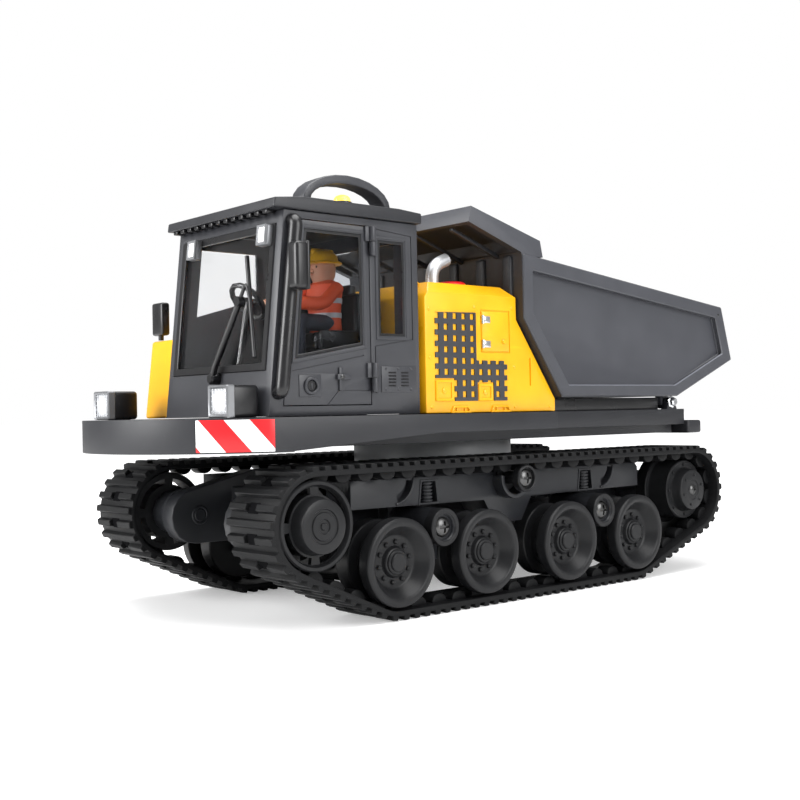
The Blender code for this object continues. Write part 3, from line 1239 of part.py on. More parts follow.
def dump_body():
    """The tipping bed: open above and at the tail, with a forward canopy, side panels and hinge ears."""
    side_outline = [
        (BED_FRONT_Y, BED_FRONT_TOP),
        (BED_FRONT_Y, BED_KNEE_Z),
        (BED_FLOOR_FRONT_Y, BED_FLOOR),
        (BED_FLOOR_REAR_Y, BED_FLOOR),
        (BED_TAIL_Y, BED_TAIL_Z),
        (BED_REAR_TOP_Y, BED_REAR_TOP),
    ]
    wall = BED_WALL
    tail_way = Vector((BED_TAIL_Y - BED_FLOOR_REAR_Y, BED_TAIL_Z - BED_FLOOR))
    past = tail_way.normalized() * 20 * MM
    sky = HOOP_TOP + 40 * MM
    hollow_outline = [
        (BED_FRONT_Y + wall, sky),
        (BED_FRONT_Y + wall, BED_KNEE_Z + 0.8 * MM),
        (BED_FLOOR_FRONT_Y + wall * 0.5, BED_FLOOR + wall),
        (BED_FLOOR_REAR_Y - wall * 0.2, BED_FLOOR + wall),
        (BED_TAIL_Y + past.x - wall * 0.35, BED_TAIL_Z + past.y + wall),
        (BED_TAIL_Y + past.x, sky),
    ]
    body = slab([side_outline], -BED_HALF_WIDTH, BED_HALF_WIDTH)
    bed_half = BED_HALF_WIDTH - BED_SIDE_WALL
    hollow = slab([hollow_outline], -bed_half, bed_half)
    border = PANEL_BORDER
    panel = [
        (BED_FRONT_Y + border, BED_FRONT_TOP - border - 1 * MM),
        (BED_FRONT_Y + border, BED_KNEE_Z + 1.5 * MM),
        (BED_FLOOR_FRONT_Y + border * 0.6, BED_FLOOR + border),
        (BED_FLOOR_REAR_Y - border * 0.2, BED_FLOOR + border),
        (BED_TAIL_Y - border * 1.4, BED_TAIL_Z + border * 0.5),
        (BED_REAR_TOP_Y - border, BED_REAR_TOP - border + 0.5 * MM),
    ]
    cuts = [hollow]
    for side in (-1, 1):
        low, high = across(side, BED_HALF_WIDTH - PANEL_RECESS, BED_HALF_WIDTH + 2 * MM)
        cuts.append(slab([panel], low, high))
    lip_y = BED_FRONT_Y - VISOR_REACH
    rise = VISOR_RISE
    depth = VISOR_DEPTH
    plate = VISOR_PLATE
    visor = [
        (BED_FRONT_Y + 13 * MM, BED_FRONT_TOP - 1 * MM),
        (BED_FRONT_Y + 11.4 * MM, BED_FRONT_TOP + depth - 0.5 * MM),
        (lip_y + 1.5 * MM, BED_FRONT_TOP + rise + depth),
        (lip_y, BED_FRONT_TOP + rise),
        (BED_FRONT_Y - 0.5 * MM, BED_FRONT_TOP + 0.4 * MM),
        (BED_FRONT_Y, BED_FRONT_TOP - 1 * MM),
    ]
    under = [
        (lip_y + plate, BED_FRONT_TOP + rise - 6 * MM),
        (lip_y + plate, BED_FRONT_TOP + rise + depth - plate),
        (BED_FRONT_Y - 2 * MM, BED_FRONT_TOP + depth + 1.8 * MM - plate),
        (BED_FRONT_Y - 2 * MM, BED_FRONT_TOP - 6 * MM),
    ]
    made = piece("dump_body", body, CHARCOAL, [], cuts, (0, TIP_Y, TIP_Z))
    later = [("UNION", slab([visor], -BED_HALF_WIDTH, BED_HALF_WIDTH))]
    later.append(("DIFFERENCE", slab([under], -bed_half, bed_half)))
    scoop = [
        (BED_FRONT_Y + wall, BED_FRONT_TOP - 20 * MM),
        (BED_FRONT_Y + wall, BED_FRONT_TOP + 2 * MM),
        (BED_FRONT_Y + 16 * MM, BED_FRONT_TOP + 2 * MM),
        (BED_FRONT_Y + 16 * MM, BED_FRONT_TOP - 20 * MM),
    ]
    later.append(("DIFFERENCE", slab([scoop], -bed_half, bed_half)))
    for side in (-1, 1):
        low, high = across(side, EAR_INNER_X, EAR_INNER_X + EAR_THICKNESS)
        ear = arc((TIP_Y, TIP_Z), EAR_RADIUS, 180, 360, 8)
        ear += [(TIP_Y + EAR_RADIUS, BED_FLOOR + 2 * MM), (TIP_Y - EAR_RADIUS, BED_FLOOR + 2 * MM)]
        later.append(("UNION", slab([ear], low, high)))
        hole_radius = TIP_PIN_RADIUS + RUN_GAP
        hole = rod((low - 1 * MM, TIP_Y, TIP_Z), (high + 1 * MM, TIP_Y, TIP_Z), hole_radius, 10)
        later.append(("DIFFERENCE", hole))
        for shift in (-1, 1):
            middle = side * RAM_X
            low, high = across(shift, RAM_SLOT_HALF - 1.2 * MM, RAM_SLOT_HALF)
            later.append(
                (
                    "UNION",
                    box(
                        (middle + low, RAM_HEAD_Y - 4 * MM, DECK_TOP + RUN_GAP),
                        (middle + high, RAM_HEAD_Y + 4 * MM, BED_FLOOR + 1 * MM),
                    ),
                )
            )
    for operation, mesh in later:
        boolean = made.modifiers.new(operation.lower(), "BOOLEAN")
        boolean.operation = operation
        boolean.object = helper(mesh)


def lift_rams():
    """Two rams under the bed: a rod hinged on the deck's pin, and a barrel that slides along it."""
    base = Vector((0, RAM_BASE_Y, RAM_BASE_Z))
    head = Vector((0, RAM_HEAD_Y, RAM_HEAD_Z))
    way = (head - base).normalized()
    reach = (head - base).length
    eye = RAM_RADIUS - 0.4 * MM
    half = RAM_SLOT_HALF - 1.2 * MM - RUN_GAP
    mouth = reach - BARREL_LENGTH - 2 * MM
    for word, side in SIDES:
        centre = Vector((side * RAM_X, 0, 0))
        start = centre + base
        axis = pivot(f"{word}_ram_pivot", start)
        bar = rod(start, start + way * ROD_LENGTH, ROD_RADIUS, 14)
        side_way = Vector((half, 0, 0))
        foot = rod(start - side_way, start + side_way, eye, 14)
        hole = rod(start - side_way * 2, start + side_way * 2, RAM_PIN_RADIUS + RUN_GAP, 10)
        piece(f"{word}_lift_rod", bar, CHROME, [foot], [hole], start, axis)
        top = centre + head
        barrel = rod(start + way * mouth, start + way * (reach - 1 * MM), RAM_RADIUS, 16)
        crown = rod(top - side_way, top + side_way, RAM_RADIUS - 0.6 * MM, 14)
        bore_end = start + way * (ROD_LENGTH + 1.5 * MM)
        bore = rod(start + way * (mouth - 1 * MM), bore_end, ROD_RADIUS + RUN_GAP, 14)
        piece(f"{word}_lift_cylinder", barrel, BLACK, [crown], [bore], start, axis)


undercarriage()
deck()
deck_machinery()
cab()
covers()
dump_body()
lift_rams()
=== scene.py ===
"""Looks of a radio-controlled tracked dumper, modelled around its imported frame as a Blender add-on.

+X is the vehicle's left, +Y its rear and +Z up, in metres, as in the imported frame.
"""

import json
import math

import bpy
from mathutils import Matrix, Vector


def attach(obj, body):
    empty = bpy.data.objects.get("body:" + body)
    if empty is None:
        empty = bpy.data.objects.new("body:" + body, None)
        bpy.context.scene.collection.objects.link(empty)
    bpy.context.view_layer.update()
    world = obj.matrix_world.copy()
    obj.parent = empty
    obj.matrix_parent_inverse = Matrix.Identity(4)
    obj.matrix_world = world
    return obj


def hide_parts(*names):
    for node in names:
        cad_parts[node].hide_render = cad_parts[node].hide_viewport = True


bl_info = {
    "name": "Tracked Dumper",
    "version": (1, 0, 0),
    "blender": (4, 5, 0),
    "location": "View3D > Sidebar > Dumper",
    "description": "Models and finishes a tracked dumper around its packed frame",
    "category": "Add Mesh",
}

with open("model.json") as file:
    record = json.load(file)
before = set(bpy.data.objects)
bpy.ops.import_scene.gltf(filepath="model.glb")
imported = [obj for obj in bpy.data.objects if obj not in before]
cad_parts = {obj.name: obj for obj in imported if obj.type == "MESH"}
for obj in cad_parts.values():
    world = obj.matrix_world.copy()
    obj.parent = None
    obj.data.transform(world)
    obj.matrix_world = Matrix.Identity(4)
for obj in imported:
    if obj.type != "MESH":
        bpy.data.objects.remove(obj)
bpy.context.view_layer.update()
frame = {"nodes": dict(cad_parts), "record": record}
MM = 0.001
SIDES = (("left", 1), ("right", -1))

# Sizes and places that agree with the part's source
BELT_INNER_RADIUS = 17.6 * MM
BELT_BASE = 2.0 * MM
LUG_HEIGHT = 1.6 * MM
BELT_INNER_X = 36.5 * MM
BELT_OUTER_X = 64.5 * MM
BELT_MIDDLE_X = (BELT_INNER_X + BELT_OUTER_X) / 2
BELT_NEUTRAL_RADIUS = BELT_INNER_RADIUS + BELT_BASE / 2
BELT_FACE_RADIUS = BELT_INNER_RADIUS + BELT_BASE
WHEEL_PLACES = {
    "front_bogie_front": -70 * MM,
    "front_bogie_rear": -23.6 * MM,
    "rear_bogie_front": 25.7 * MM,
    "rear_bogie_rear": 72.1 * MM,
}
WHEEL_Z = 21.6 * MM
AXLE_Z = 38 * MM
IDLER_Y = -107.3 * MM
SPROCKET_Y = 117.5 * MM
BELT_LOW_Z = 21.2 * MM
BELT_CORNERS = (
    (WHEEL_PLACES["front_bogie_front"], BELT_LOW_Z),
    (WHEEL_PLACES["rear_bogie_rear"], BELT_LOW_Z),
    (SPROCKET_Y, AXLE_Z),
    (IDLER_Y, AXLE_Z),
)
BOGIE_PLACES = {"front": -46.8 * MM, "rear": 48.9 * MM}
BOGIE_Z = 33 * MM
ROLLER_Y = 0.5 * MM
ROLLER_Z = 49.5 * MM
NOSE_CENTRE_Y = -94 * MM
NOSE_RADIUS = 64.4 * MM
DECK_TOP = 76.8 * MM
CAB_LEFT = 54.5 * MM
CAB_MIDDLE = 18.75 * MM
CAB_FRONT_FOOT = -121.4 * MM
CAB_RISE = 74.2 * MM
CAB_SETBACK = 8 * MM
COVER_HALF_WIDTH = 55 * MM
COVER_TOP = 129.5 * MM

# Bars of the warning plates, and the middle of the figure's hips in millimetres
STRIPE_WIDTH = 8.9 * MM
STRIPE_SLANT = 0.85
STRIPE_SHIFT = 4.8 * MM
FIGURE_HIP = (CAB_MIDDLE / MM, -69.0, 109.7)

# Sockets of a Mix node that blends colours
MIX_FIRST = 6
MIX_SECOND = 7
MIX_RESULT = 2

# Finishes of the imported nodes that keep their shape, and of the slots that are only rounded
PLAIN_NODES = {
    "windshield": "clear",
    "rear_window": "clear",
    "right_window": "clear",
    "quarter_window": "tinted",
    "door_window": "tinted",
    "battery_pack": "cells",
    "control_board": "board",
    "slew_motor": "silver",
    "left_lift_rod": "silver",
    "right_lift_rod": "silver",
    "power_switch": "black",
}
ROUNDED_SLOTS = {"charcoal_plastic": "charcoal", "black_plastic": "black"}

# Materials by name, filled by the first operator
FINISHES = {}


def cab_front_y(z):
    """Where the cab's raked front lies at a height."""
    return CAB_FRONT_FOOT + (z - DECK_TOP) * CAB_SETBACK / CAB_RISE


class DumperSizes(bpy.types.PropertyGroup):
    """Sizes and counts of the modelled details."""

    tread_bars: bpy.props.IntProperty(
        name="Tread bars",
        description="Cross bars round each belt, an even number",
        default=108,
        min=24,
    )
    tread_bar_width: bpy.props.FloatProperty(
        name="Tread bar width",
        description="Length of one bar along the belt",
        default=0.0034,
        unit="LENGTH",
    )
    guide_height: bpy.props.FloatProperty(
        name="Guide height",
        description="Height of the pads inside the belt",
        default=0.0033,
        unit="LENGTH",
    )
    wheel_radius: bpy.props.FloatProperty(
        name="Wheel radius",
        description="Radius of a road wheel's rim",
        default=0.0168,
        unit="LENGTH",
    )
    wheel_bolts: bpy.props.IntProperty(
        name="Wheel bolts",
        description="Bolt heads round each road wheel's hub",
        default=10,
        min=3,
    )
    edge_round: bpy.props.FloatProperty(
        name="Edge rounding",
        description="Width of the rounding on moulded edges",
        default=0.0005,
        unit="LENGTH",
    )


class DumperColours(bpy.types.PropertyGroup):
    """Colours of the finishes, as scene-linear values."""

    charcoal: bpy.props.FloatVectorProperty(
        name="Charcoal",
        description="Moulded body plastic",
        subtype="COLOR",
        size=4,
        default=(0.0295, 0.0307, 0.036, 1),
    )
    chassis: bpy.props.FloatVectorProperty(
        name="Chassis",
        description="Undercarriage plastic",
        subtype="COLOR",
        size=4,
        default=(0.0148, 0.0158, 0.0186, 1),
    )
    wheel: bpy.props.FloatVectorProperty(
        name="Wheels",
        description="Wheel plastic",
        subtype="COLOR",
        size=4,
        default=(0.01, 0.0103, 0.0113, 1),
    )
    black: bpy.props.FloatVectorProperty(
        name="Black",
        description="Rails, mirrors and seals",
        subtype="COLOR",
        size=4,
        default=(0.006, 0.006, 0.007, 1),
    )
    rubber: bpy.props.FloatVectorProperty(
        name="Rubber",
        description="Track belts",
        subtype="COLOR",
        size=4,
        default=(0.0047, 0.0049, 0.0055, 1),
    )
    yellow: bpy.props.FloatVectorProperty(
        name="Yellow",
        description="Engine cover and hood",
        subtype="COLOR",
        size=4,
        default=(0.8, 0.385, 0.004, 1),
    )
    signal_red: bpy.props.FloatVectorProperty(
        name="Signal red",
        description="Stripes and the filler cap",
        subtype="COLOR",
        size=4,
        default=(0.75, 0.01, 0.015, 1),
    )


# Node groups and finishes


def group_node(tree, kind, place, **values):
    """A node in a tree, with its sockets or settings filled in."""
    node = tree.nodes.new(kind)
    node.location = place
    for key, value in values.items():
        if key in node.inputs:
            node.inputs[key].default_value = value
        else:
            setattr(node, key, value)
    return node


def fill(node, values):
    """Sets several inputs of a node."""
    for key, value in values.items():
        node.inputs[key].default_value = value


def wire(tree, *wires):
    """Links outputs to inputs, each wire being two nodes with their sockets."""
    for giver, outlet, taker, inlet in wires:
        tree.links.new(giver.outputs[outlet], taker.inputs[inlet])


def moulded_grain_group():
    """Fine moulded grain: a bump height, a broad mottle and thin scuffs, all from object coordinates."""
    if "moulded_grain" in bpy.data.node_groups:
        return bpy.data.node_groups["moulded_grain"]
    tree = bpy.data.node_groups.new("moulded_grain", "ShaderNodeTree")
    for label, default in (("Grain Scale", 2500.0), ("Mottle Scale", 60.0)):
        socket = tree.interface.new_socket(label, in_out="INPUT", socket_type="NodeSocketFloat")
        socket.default_value = default
    for label in ("Height", "Mottle", "Scuffs"):
        tree.interface.new_socket(label, in_out="OUTPUT", socket_type="NodeSocketFloat")
    inlet = group_node(tree, "NodeGroupInput", (-800, 0))
    outlet = group_node(tree, "NodeGroupOutput", (500, 0))
    place = group_node(tree, "ShaderNodeTexCoord", (-800, -300))
    grain = group_node(tree, "ShaderNodeTexNoise", (-300, 250), Detail=3.0, Roughness=0.6)
    broad = group_node(tree, "ShaderNodeTexNoise", (-300, -50), Detail=4.0, Roughness=0.55)
    stretch = group_node(tree, "ShaderNodeMapping", (-550, -350))
    stretch.inputs["Scale"].default_value = (900.0, 45.0, 320.0)
    streak = group_node(tree, "ShaderNodeTexNoise", (-300, -350), Scale=1.0, Detail=2.0)
    narrow = group_node(tree, "ShaderNodeMapRange", (0, -350))
    fill(narrow, {"From Min": 0.66, "From Max": 0.8})
    wire(
        tree,
        (place, "Object", grain, "Vector"),
        (place, "Object", broad, "Vector"),
        (place, "Object", stretch, "Vector"),
        (stretch, "Vector", streak, "Vector"),
        (inlet, "Grain Scale", grain, "Scale"),
        (inlet, "Mottle Scale", broad, "Scale"),
        (streak, "Fac", narrow, "Value"),
        (grain, "Fac", outlet, "Height"),
        (broad, "Fac", outlet, "Mottle"),
        (narrow, "Result", outlet, "Scuffs"),
    )
    return tree


def settled_dust_group():
    """Pale dust that settles on upward faces in loose patches."""
    if "settled_dust" in bpy.data.node_groups:
        return bpy.data.node_groups["settled_dust"]
    tree = bpy.data.node_groups.new("settled_dust", "ShaderNodeTree")
    tree.interface.new_socket("Colour", in_out="INPUT", socket_type="NodeSocketColor")
    amount = tree.interface.new_socket("Amount", in_out="INPUT", socket_type="NodeSocketFloat")
    amount.default_value = 0.2
    tree.interface.new_socket("Colour", in_out="OUTPUT", socket_type="NodeSocketColor")
    inlet = group_node(tree, "NodeGroupInput", (-800, 0))
    outlet = group_node(tree, "NodeGroupOutput", (600, 0))
    place = group_node(tree, "ShaderNodeTexCoord", (-800, -300))
    patch = group_node(tree, "ShaderNodeTexNoise", (-500, -250), Scale=140.0, Detail=5.0, Roughness=0.65)
    band = group_node(tree, "ShaderNodeMapRange", (-250, -250))
    fill(band, {"From Min": 0.4, "From Max": 0.75})
    facing = group_node(tree, "ShaderNodeSeparateXYZ", (-500, -500))
    upward = group_node(tree, "ShaderNodeMapRange", (-250, -500))
    fill(upward, {"From Min": -0.2, "To Min": 0.25})
    cover = group_node(tree, "ShaderNodeMath", (0, -350), operation="MULTIPLY")
    share = group_node(tree, "ShaderNodeMath", (150, -200), operation="MULTIPLY")
    blend = group_node(tree, "ShaderNodeMix", (350, 0), data_type="RGBA")
    blend.inputs[MIX_SECOND].default_value = (0.3, 0.29, 0.27, 1)
    wire(
        tree,
        (place, "Object", patch, "Vector"),
        (patch, "Fac", band, "Value"),
        (place, "Normal", facing, "Vector"),
        (facing, "Z", upward, "Value"),
        (band, "Result", cover, 0),
        (upward, "Result", cover, 1),
        (cover, "Value", share, 0),
        (inlet, "Amount", share, 1),
        (share, "Value", blend, 0),
        (inlet, "Colour", blend, MIX_FIRST),
        (blend, MIX_RESULT, outlet, "Colour"),
    )
    return tree


def toned(colour, share, lift=0.0):
    """A colour made deeper or paler."""
    return [min(1.0, part * share + lift) for part in colour[:3]] + [1]


def blank_finish(name):
    """A new material with its node tree and its shader."""
    made = bpy.data.materials.new(name)
    made.use_nodes = True
    return made, made.node_tree, made.node_tree.nodes["Principled BSDF"]


def moulded_finish(name, colour, rough, grain, depth, dust=0.0, metallic=0.0, shine=0.5):
    """A moulded surface: grain in its bump, mottle in its gloss, scuffs and dust in its colour."""
    made, tree, shader = blank_finish(name)
    fill(shader, {"Metallic": metallic, "Specular IOR Level": shine})
    surface = group_node(tree, "ShaderNodeGroup", (-900, 0), node_tree=moulded_grain_group())
    surface.inputs["Grain Scale"].default_value = grain
    tone = group_node(tree, "ShaderNodeMix", (-600, 250), data_type="RGBA")
    fill(tone, {MIX_FIRST: toned(colour, 0.86), MIX_SECOND: toned(colour, 1.25, 0.001)})
    worn = group_node(tree, "ShaderNodeMix", (-400, 250), data_type="RGBA")
    worn.inputs[MIX_SECOND].default_value = toned(colour, 1.7, 0.005)
    lightly = group_node(tree, "ShaderNodeMath", (-600, 0), operation="MULTIPLY")
    lightly.inputs[1].default_value = 0.25
    gloss = group_node(tree, "ShaderNodeMapRange", (-400, -50))
    fill(gloss, {"To Min": max(0.02, rough - 0.1), "To Max": min(1.0, rough + 0.1)})
    bump = group_node(tree, "ShaderNodeBump", (-300, -350), Strength=0.5, Distance=depth)
    wire(
        tree,
        (surface, "Mottle", tone, 0),
        (surface, "Scuffs", lightly, 0),
        (lightly, "Value", worn, 0),
        (tone, MIX_RESULT, worn, MIX_FIRST),
        (surface, "Mottle", gloss, "Value"),
        (surface, "Height", bump, "Height"),
        (gloss, "Result", shader, "Roughness"),
        (bump, "Normal", shader, "Normal"),
    )
    last = worn.outputs[MIX_RESULT]
    if dust:
        settled = group_node(tree, "ShaderNodeGroup", (-200, 250), node_tree=settled_dust_group())
        settled.inputs["Amount"].default_value = dust
        tree.links.new(last, settled.inputs["Colour"])
        last = settled.outputs["Colour"]
    tree.links.new(last, shader.inputs["Base Color"])
    return made


def window_finish(name, tint):
    """Clear moulded glazing with a faint smear in its gloss."""
    made, tree, shader = blank_finish(name)
    fill(shader, {"Transmission Weight": 1.0, "IOR": 1.2})
    surface = group_node(tree, "ShaderNodeGroup", (-700, 0), node_tree=moulded_grain_group())
    tone = group_node(tree, "ShaderNodeMix", (-400, 200), data_type="RGBA")
    fill(tone, {MIX_FIRST: tint, MIX_SECOND: toned(tint, 0.94)})
    gloss = group_node(tree, "ShaderNodeMapRange", (-400, -100))
    fill(gloss, {"To Min": 0.0, "To Max": 0.06})
    wire(
        tree,
        (surface, "Mottle", tone, 0),
        (surface, "Mottle", gloss, "Value"),
        (tone, MIX_RESULT, shader, "Base Color"),
        (gloss, "Result", shader, "Roughness"),
    )
    return made


def lamp_finish(name, colour, strength):
    """A lit lens: grained plastic that glows in its own colour."""
    made = moulded_finish(name, colour, 0.15, 900, 0.06 * MM)
    shader = made.node_tree.nodes["Principled BSDF"]
    fill(shader, {"Emission Color": colour, "Emission Strength": strength})
    return made


def headlight_finish(name, colour, centre):
    """A plated reflector, lit round a centre that is given out from the midline and up."""
    made = moulded_finish(name, colour, 0.22, 900, 0.04 * MM, metallic=0.7)
    tree = made.node_tree
    shader = tree.nodes["Principled BSDF"]
    shader.inputs["Emission Strength"].default_value = 1.0
    place = group_node(tree, "ShaderNodeTexCoord", (-1500, 700))
    parts = group_node(tree, "ShaderNodeSeparateXYZ", (-1300, 700))
    side = group_node(tree, "ShaderNodeMath", (-1100, 800), operation="ABSOLUTE")
    spot = group_node(tree, "ShaderNodeCombineXYZ", (-900, 700))
    away = group_node(tree, "ShaderNodeVectorMath", (-700, 700), operation="DISTANCE")
    away.inputs[1].default_value = (centre[0], 0, centre[1])
    fade = group_node(tree, "ShaderNodeMapRange", (-500, 700), interpolation_type="SMOOTHSTEP")
    fill(fade, {"From Min": 1.0 * MM, "From Max": 5.5 * MM})
    glow = group_node(tree, "ShaderNodeMix", (-250, 700), data_type="RGBA")
    fill(glow, {MIX_FIRST: (1, 1, 1, 1), MIX_SECOND: (0.16, 0.165, 0.17, 1)})
    wire(
        tree,
        (place, "Object", parts, "Vector"),
        (parts, "X", side, 0),
        (side, "Value", spot, "X"),
        (parts, "Z", spot, "Z"),
        (spot, "Vector", away, 0),
        (away, "Value", fade, "Value"),
        (fade, "Result", glow, 0),
        (glow, MIX_RESULT, shader, "Emission Color"),
    )
    return made


def stripe_finish(name, red, white):
    """Slanted red and white bars, laid round the nose bumper by angle and height."""
    made = moulded_finish(name, white, 0.35, 1800, 0.01 * MM)
    tree = made.node_tree
    shader = tree.nodes["Principled BSDF"]
    place = group_node(tree, "ShaderNodeTexCoord", (-1500, 700))
    parts = group_node(tree, "ShaderNodeSeparateXYZ", (-1300, 700))
    forward = group_node(tree, "ShaderNodeMath", (-1100, 800), operation="SUBTRACT")
    forward.inputs[0].default_value = NOSE_CENTRE_Y
    side = group_node(tree, "ShaderNodeMath", (-1100, 650), operation="ABSOLUTE")
    angle = group_node(tree, "ShaderNodeMath", (-900, 750), operation="ARCTAN2")
    round_nose = group_node(tree, "ShaderNodeMath", (-750, 750), operation="MULTIPLY")
    round_nose.inputs[1].default_value = NOSE_RADIUS
    slant = group_node(tree, "ShaderNodeMath", (-900, 550), operation="MULTIPLY_ADD")
    fill(slant, {1: STRIPE_SLANT, 2: STRIPE_SHIFT})
    along = group_node(tree, "ShaderNodeMath", (-600, 700), operation="ADD")
    bars = group_node(tree, "ShaderNodeMath", (-450, 700), operation="MODULO")
    bars.inputs[1].default_value = STRIPE_WIDTH * 2
    pick = group_node(tree, "ShaderNodeMath", (-300, 700), operation="GREATER_THAN")
    pick.inputs[1].default_value = STRIPE_WIDTH
    coat = group_node(tree, "ShaderNodeMix", (-100, 600), data_type="RGBA")
    coat.inputs[MIX_SECOND].default_value = red
    wire(
        tree,
        (place, "Object", parts, "Vector"),
        (parts, "Y", forward, 1),
        (parts, "X", side, 0),
        (side, "Value", angle, 0),
        (forward, "Value", angle, 1),
        (angle, "Value", round_nose, 0),
        (parts, "Z", slant, 0),
        (round_nose, "Value", along, 0),
        (slant, "Value", along, 1),
        (along, "Value", bars, 0),
        (bars, "Value", pick, 0),
        (pick, "Value", coat, 0),
    )
    under = shader.inputs["Base Color"].links[0].from_socket
    tree.links.new(under, coat.inputs[MIX_FIRST])
    tree.links.new(coat.outputs[MIX_RESULT], shader.inputs["Base Color"])
    return made


# Modelling steps used by the operators


def deselect():
    """Leaves edit mode and selects nothing."""
    if bpy.context.object and bpy.context.object.mode != "OBJECT":
        bpy.ops.object.mode_set(mode="OBJECT")
    bpy.ops.object.select_all(action="DESELECT")


def activate(made):
    """Selects one object alone."""
    deselect()
    made.select_set(True)
    bpy.context.view_layer.objects.active = made


def draw_line(name, points):
    """Starts a mesh as one vertex, pulled from point to point, and stays in edit mode."""
    deselect()
    bpy.ops.mesh.primitive_plane_add(size=1)
    made = bpy.context.object
    made.name = name
    bpy.ops.object.mode_set(mode="EDIT")
    bpy.ops.mesh.select_mode(type="VERT")
    bpy.ops.mesh.select_all(action="SELECT")
    bpy.ops.mesh.merge(type="CENTER")
    here = Vector(points[0])
    bpy.ops.transform.translate(value=here)
    for point in points[1:]:
        step = Vector(point) - here
        bpy.ops.mesh.extrude_region_move(TRANSFORM_OT_translate={"value": step})
        here = Vector(point)
    bpy.ops.mesh.select_all(action="SELECT")
    return made


def close_mesh():
    """Merges doubles, turns the faces outwards and leaves edit mode."""
    bpy.ops.mesh.select_all(action="SELECT")
    bpy.ops.mesh.remove_doubles(threshold=1e-6)
    bpy.ops.mesh.normals_make_consistent(inside=False)
    bpy.ops.object.mode_set(mode="OBJECT")


def lift_point(axis, along, u, v):
    """A point of an outline in its plane: (y, z) for X, (x, z) for Y and (x, y) for Z."""
    return {"X": (along, u, v), "Y": (u, along, v), "Z": (u, v, along)}[axis]


def cut_out(name, outline, low, high, axis="X", edge=0.0):
    """An outline drawn in a plane, filled, pulled out to a solid and rounded."""
    made = draw_line(name, [lift_point(axis, low, u, v) for u, v in outline])
    bpy.ops.mesh.edge_face_add()
    pull = Vector(lift_point(axis, high - low, 0, 0))
    bpy.ops.mesh.extrude_region_move(TRANSFORM_OT_translate={"value": pull})
    close_mesh()
    if edge:
        soften(made, edge)
    return made


def turn_on(name, profile, centre, way, steps=48):
    """A profile of (along, radius) points spun about an axle."""
    way = Vector(way).normalized()
    centre = Vector(centre)
    out = way.orthogonal().normalized()
    made = draw_line(name, [centre + way * along + out * radius for along, radius in profile])
    bpy.ops.mesh.spin(steps=steps, angle=2 * math.pi, center=centre, axis=way)
    close_mesh()
    smooth(made)
    return made


def block(name, low, high, edge=0.0, segments=2):
    """A cube added at its size and place, with rounded edges."""
    deselect()
    low = Vector(low)
    high = Vector(high)
    bpy.ops.mesh.primitive_cube_add(size=1, location=(low + high) / 2)
    made = bpy.context.object
    made.name = name
    made.scale = high - low
    bpy.ops.object.transform_apply(location=True, rotation=True, scale=True)
    if edge:
        soften(made, edge, segments)
    return made


def smooth(made, angle=35):
    """Smooth shading with sharp creases kept."""
    activate(made)
    bpy.ops.object.shade_smooth_by_angle(angle=math.radians(angle))


def soften(made, width, segments=2):
    """Rounds the sharp edges with an applied bevel."""
    activate(made)
    bevel = made.modifiers.new("edges", "BEVEL")
    bevel.width = width
    bevel.segments = segments
    bevel.limit_method = "ANGLE"
    bevel.angle_limit = math.radians(38)
    bpy.ops.object.modifier_apply(modifier=bevel.name)
    smooth(made)


def carve(made, cutter):
    """Cuts one closed mesh out of another and drops the cutter."""
    activate(made)
    cut = made.modifiers.new("cut", "BOOLEAN")
    cut.operation = "DIFFERENCE"
    cut.solver = "EXACT"
    cut.object = cutter
    bpy.context.view_layer.update()
    bpy.ops.object.modifier_apply(modifier=cut.name)
    bpy.data.objects.remove(cutter)
    if not made.data.polygons:
        raise RuntimeError(f"cutting {made.name} left nothing of it")


def paint(made, finish):
    """Gives a piece one finish."""
    made.data.materials.clear()
    made.data.materials.append(FINISHES[finish])
    return made


def second_finish(made, finish, test):
    """Gives the faces that pass a test another finish."""
    made.data.materials.append(FINISHES[finish])
    last = len(made.data.materials) - 1
    for face in made.data.polygons:
        if test(face.center, face.normal):
            face.material_index = last


def gather(name, pieces):
    """Joins pieces into the first one, under a name."""
    deselect()
    for made in pieces:
        made.select_set(True)
    bpy.context.view_layer.objects.active = pieces[0]
    if len(pieces) > 1:
        bpy.ops.object.join()
    pieces[0].name = name
    return pieces[0]


def copy_of(made, matrix, name="copy"):
    """A copy with its own mesh, moved in its mesh."""
    other = bpy.data.objects.new(name, made.data.copy())
    bpy.context.scene.collection.objects.link(other)
    other.data.transform(matrix)
    if matrix.determinant() < 0:
        other.data.flip_normals()
    return other


def stamp(name, master, moves):
    """One piece of copies of a master, which is dropped."""
    copies = [copy_of(master, move) for move in moves]
    bpy.data.objects.remove(master)
    return gather(name, copies)


def mirrored(made, name):
    """A copy for the other side of the vehicle."""
    return copy_of(made, Matrix.Scale(-1, 4, (1, 0, 0)), name)


def seat_on(made, body, slot, *nodes):
    """Lets a finished piece ride on its body, for the nodes it stands for. The slot is not used."""
    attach(made, body)
    if nodes:
        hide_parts(*nodes)
    return made


def rounded_node(node, finish, width, segments=2):
    """A node's mesh copied, merged, cleared of flat seams and given rounded edges."""
    made = bpy.data.objects.new(node + "_shape", frame["nodes"][node].data.copy())
    bpy.context.scene.collection.objects.link(made)
    activate(made)
    bpy.ops.object.mode_set(mode="EDIT")
    bpy.ops.mesh.select_all(action="SELECT")
    bpy.ops.mesh.remove_doubles(threshold=2e-6)
    bpy.ops.mesh.dissolve_limited(angle_limit=math.radians(0.6))
    bpy.ops.object.mode_set(mode="OBJECT")
    soften(made, width, segments)
    return paint(made, finish)


def scaled(profile):
    """A profile given in millimetres, in metres."""
    return [(along * MM, radius * MM) for along, radius in profile]


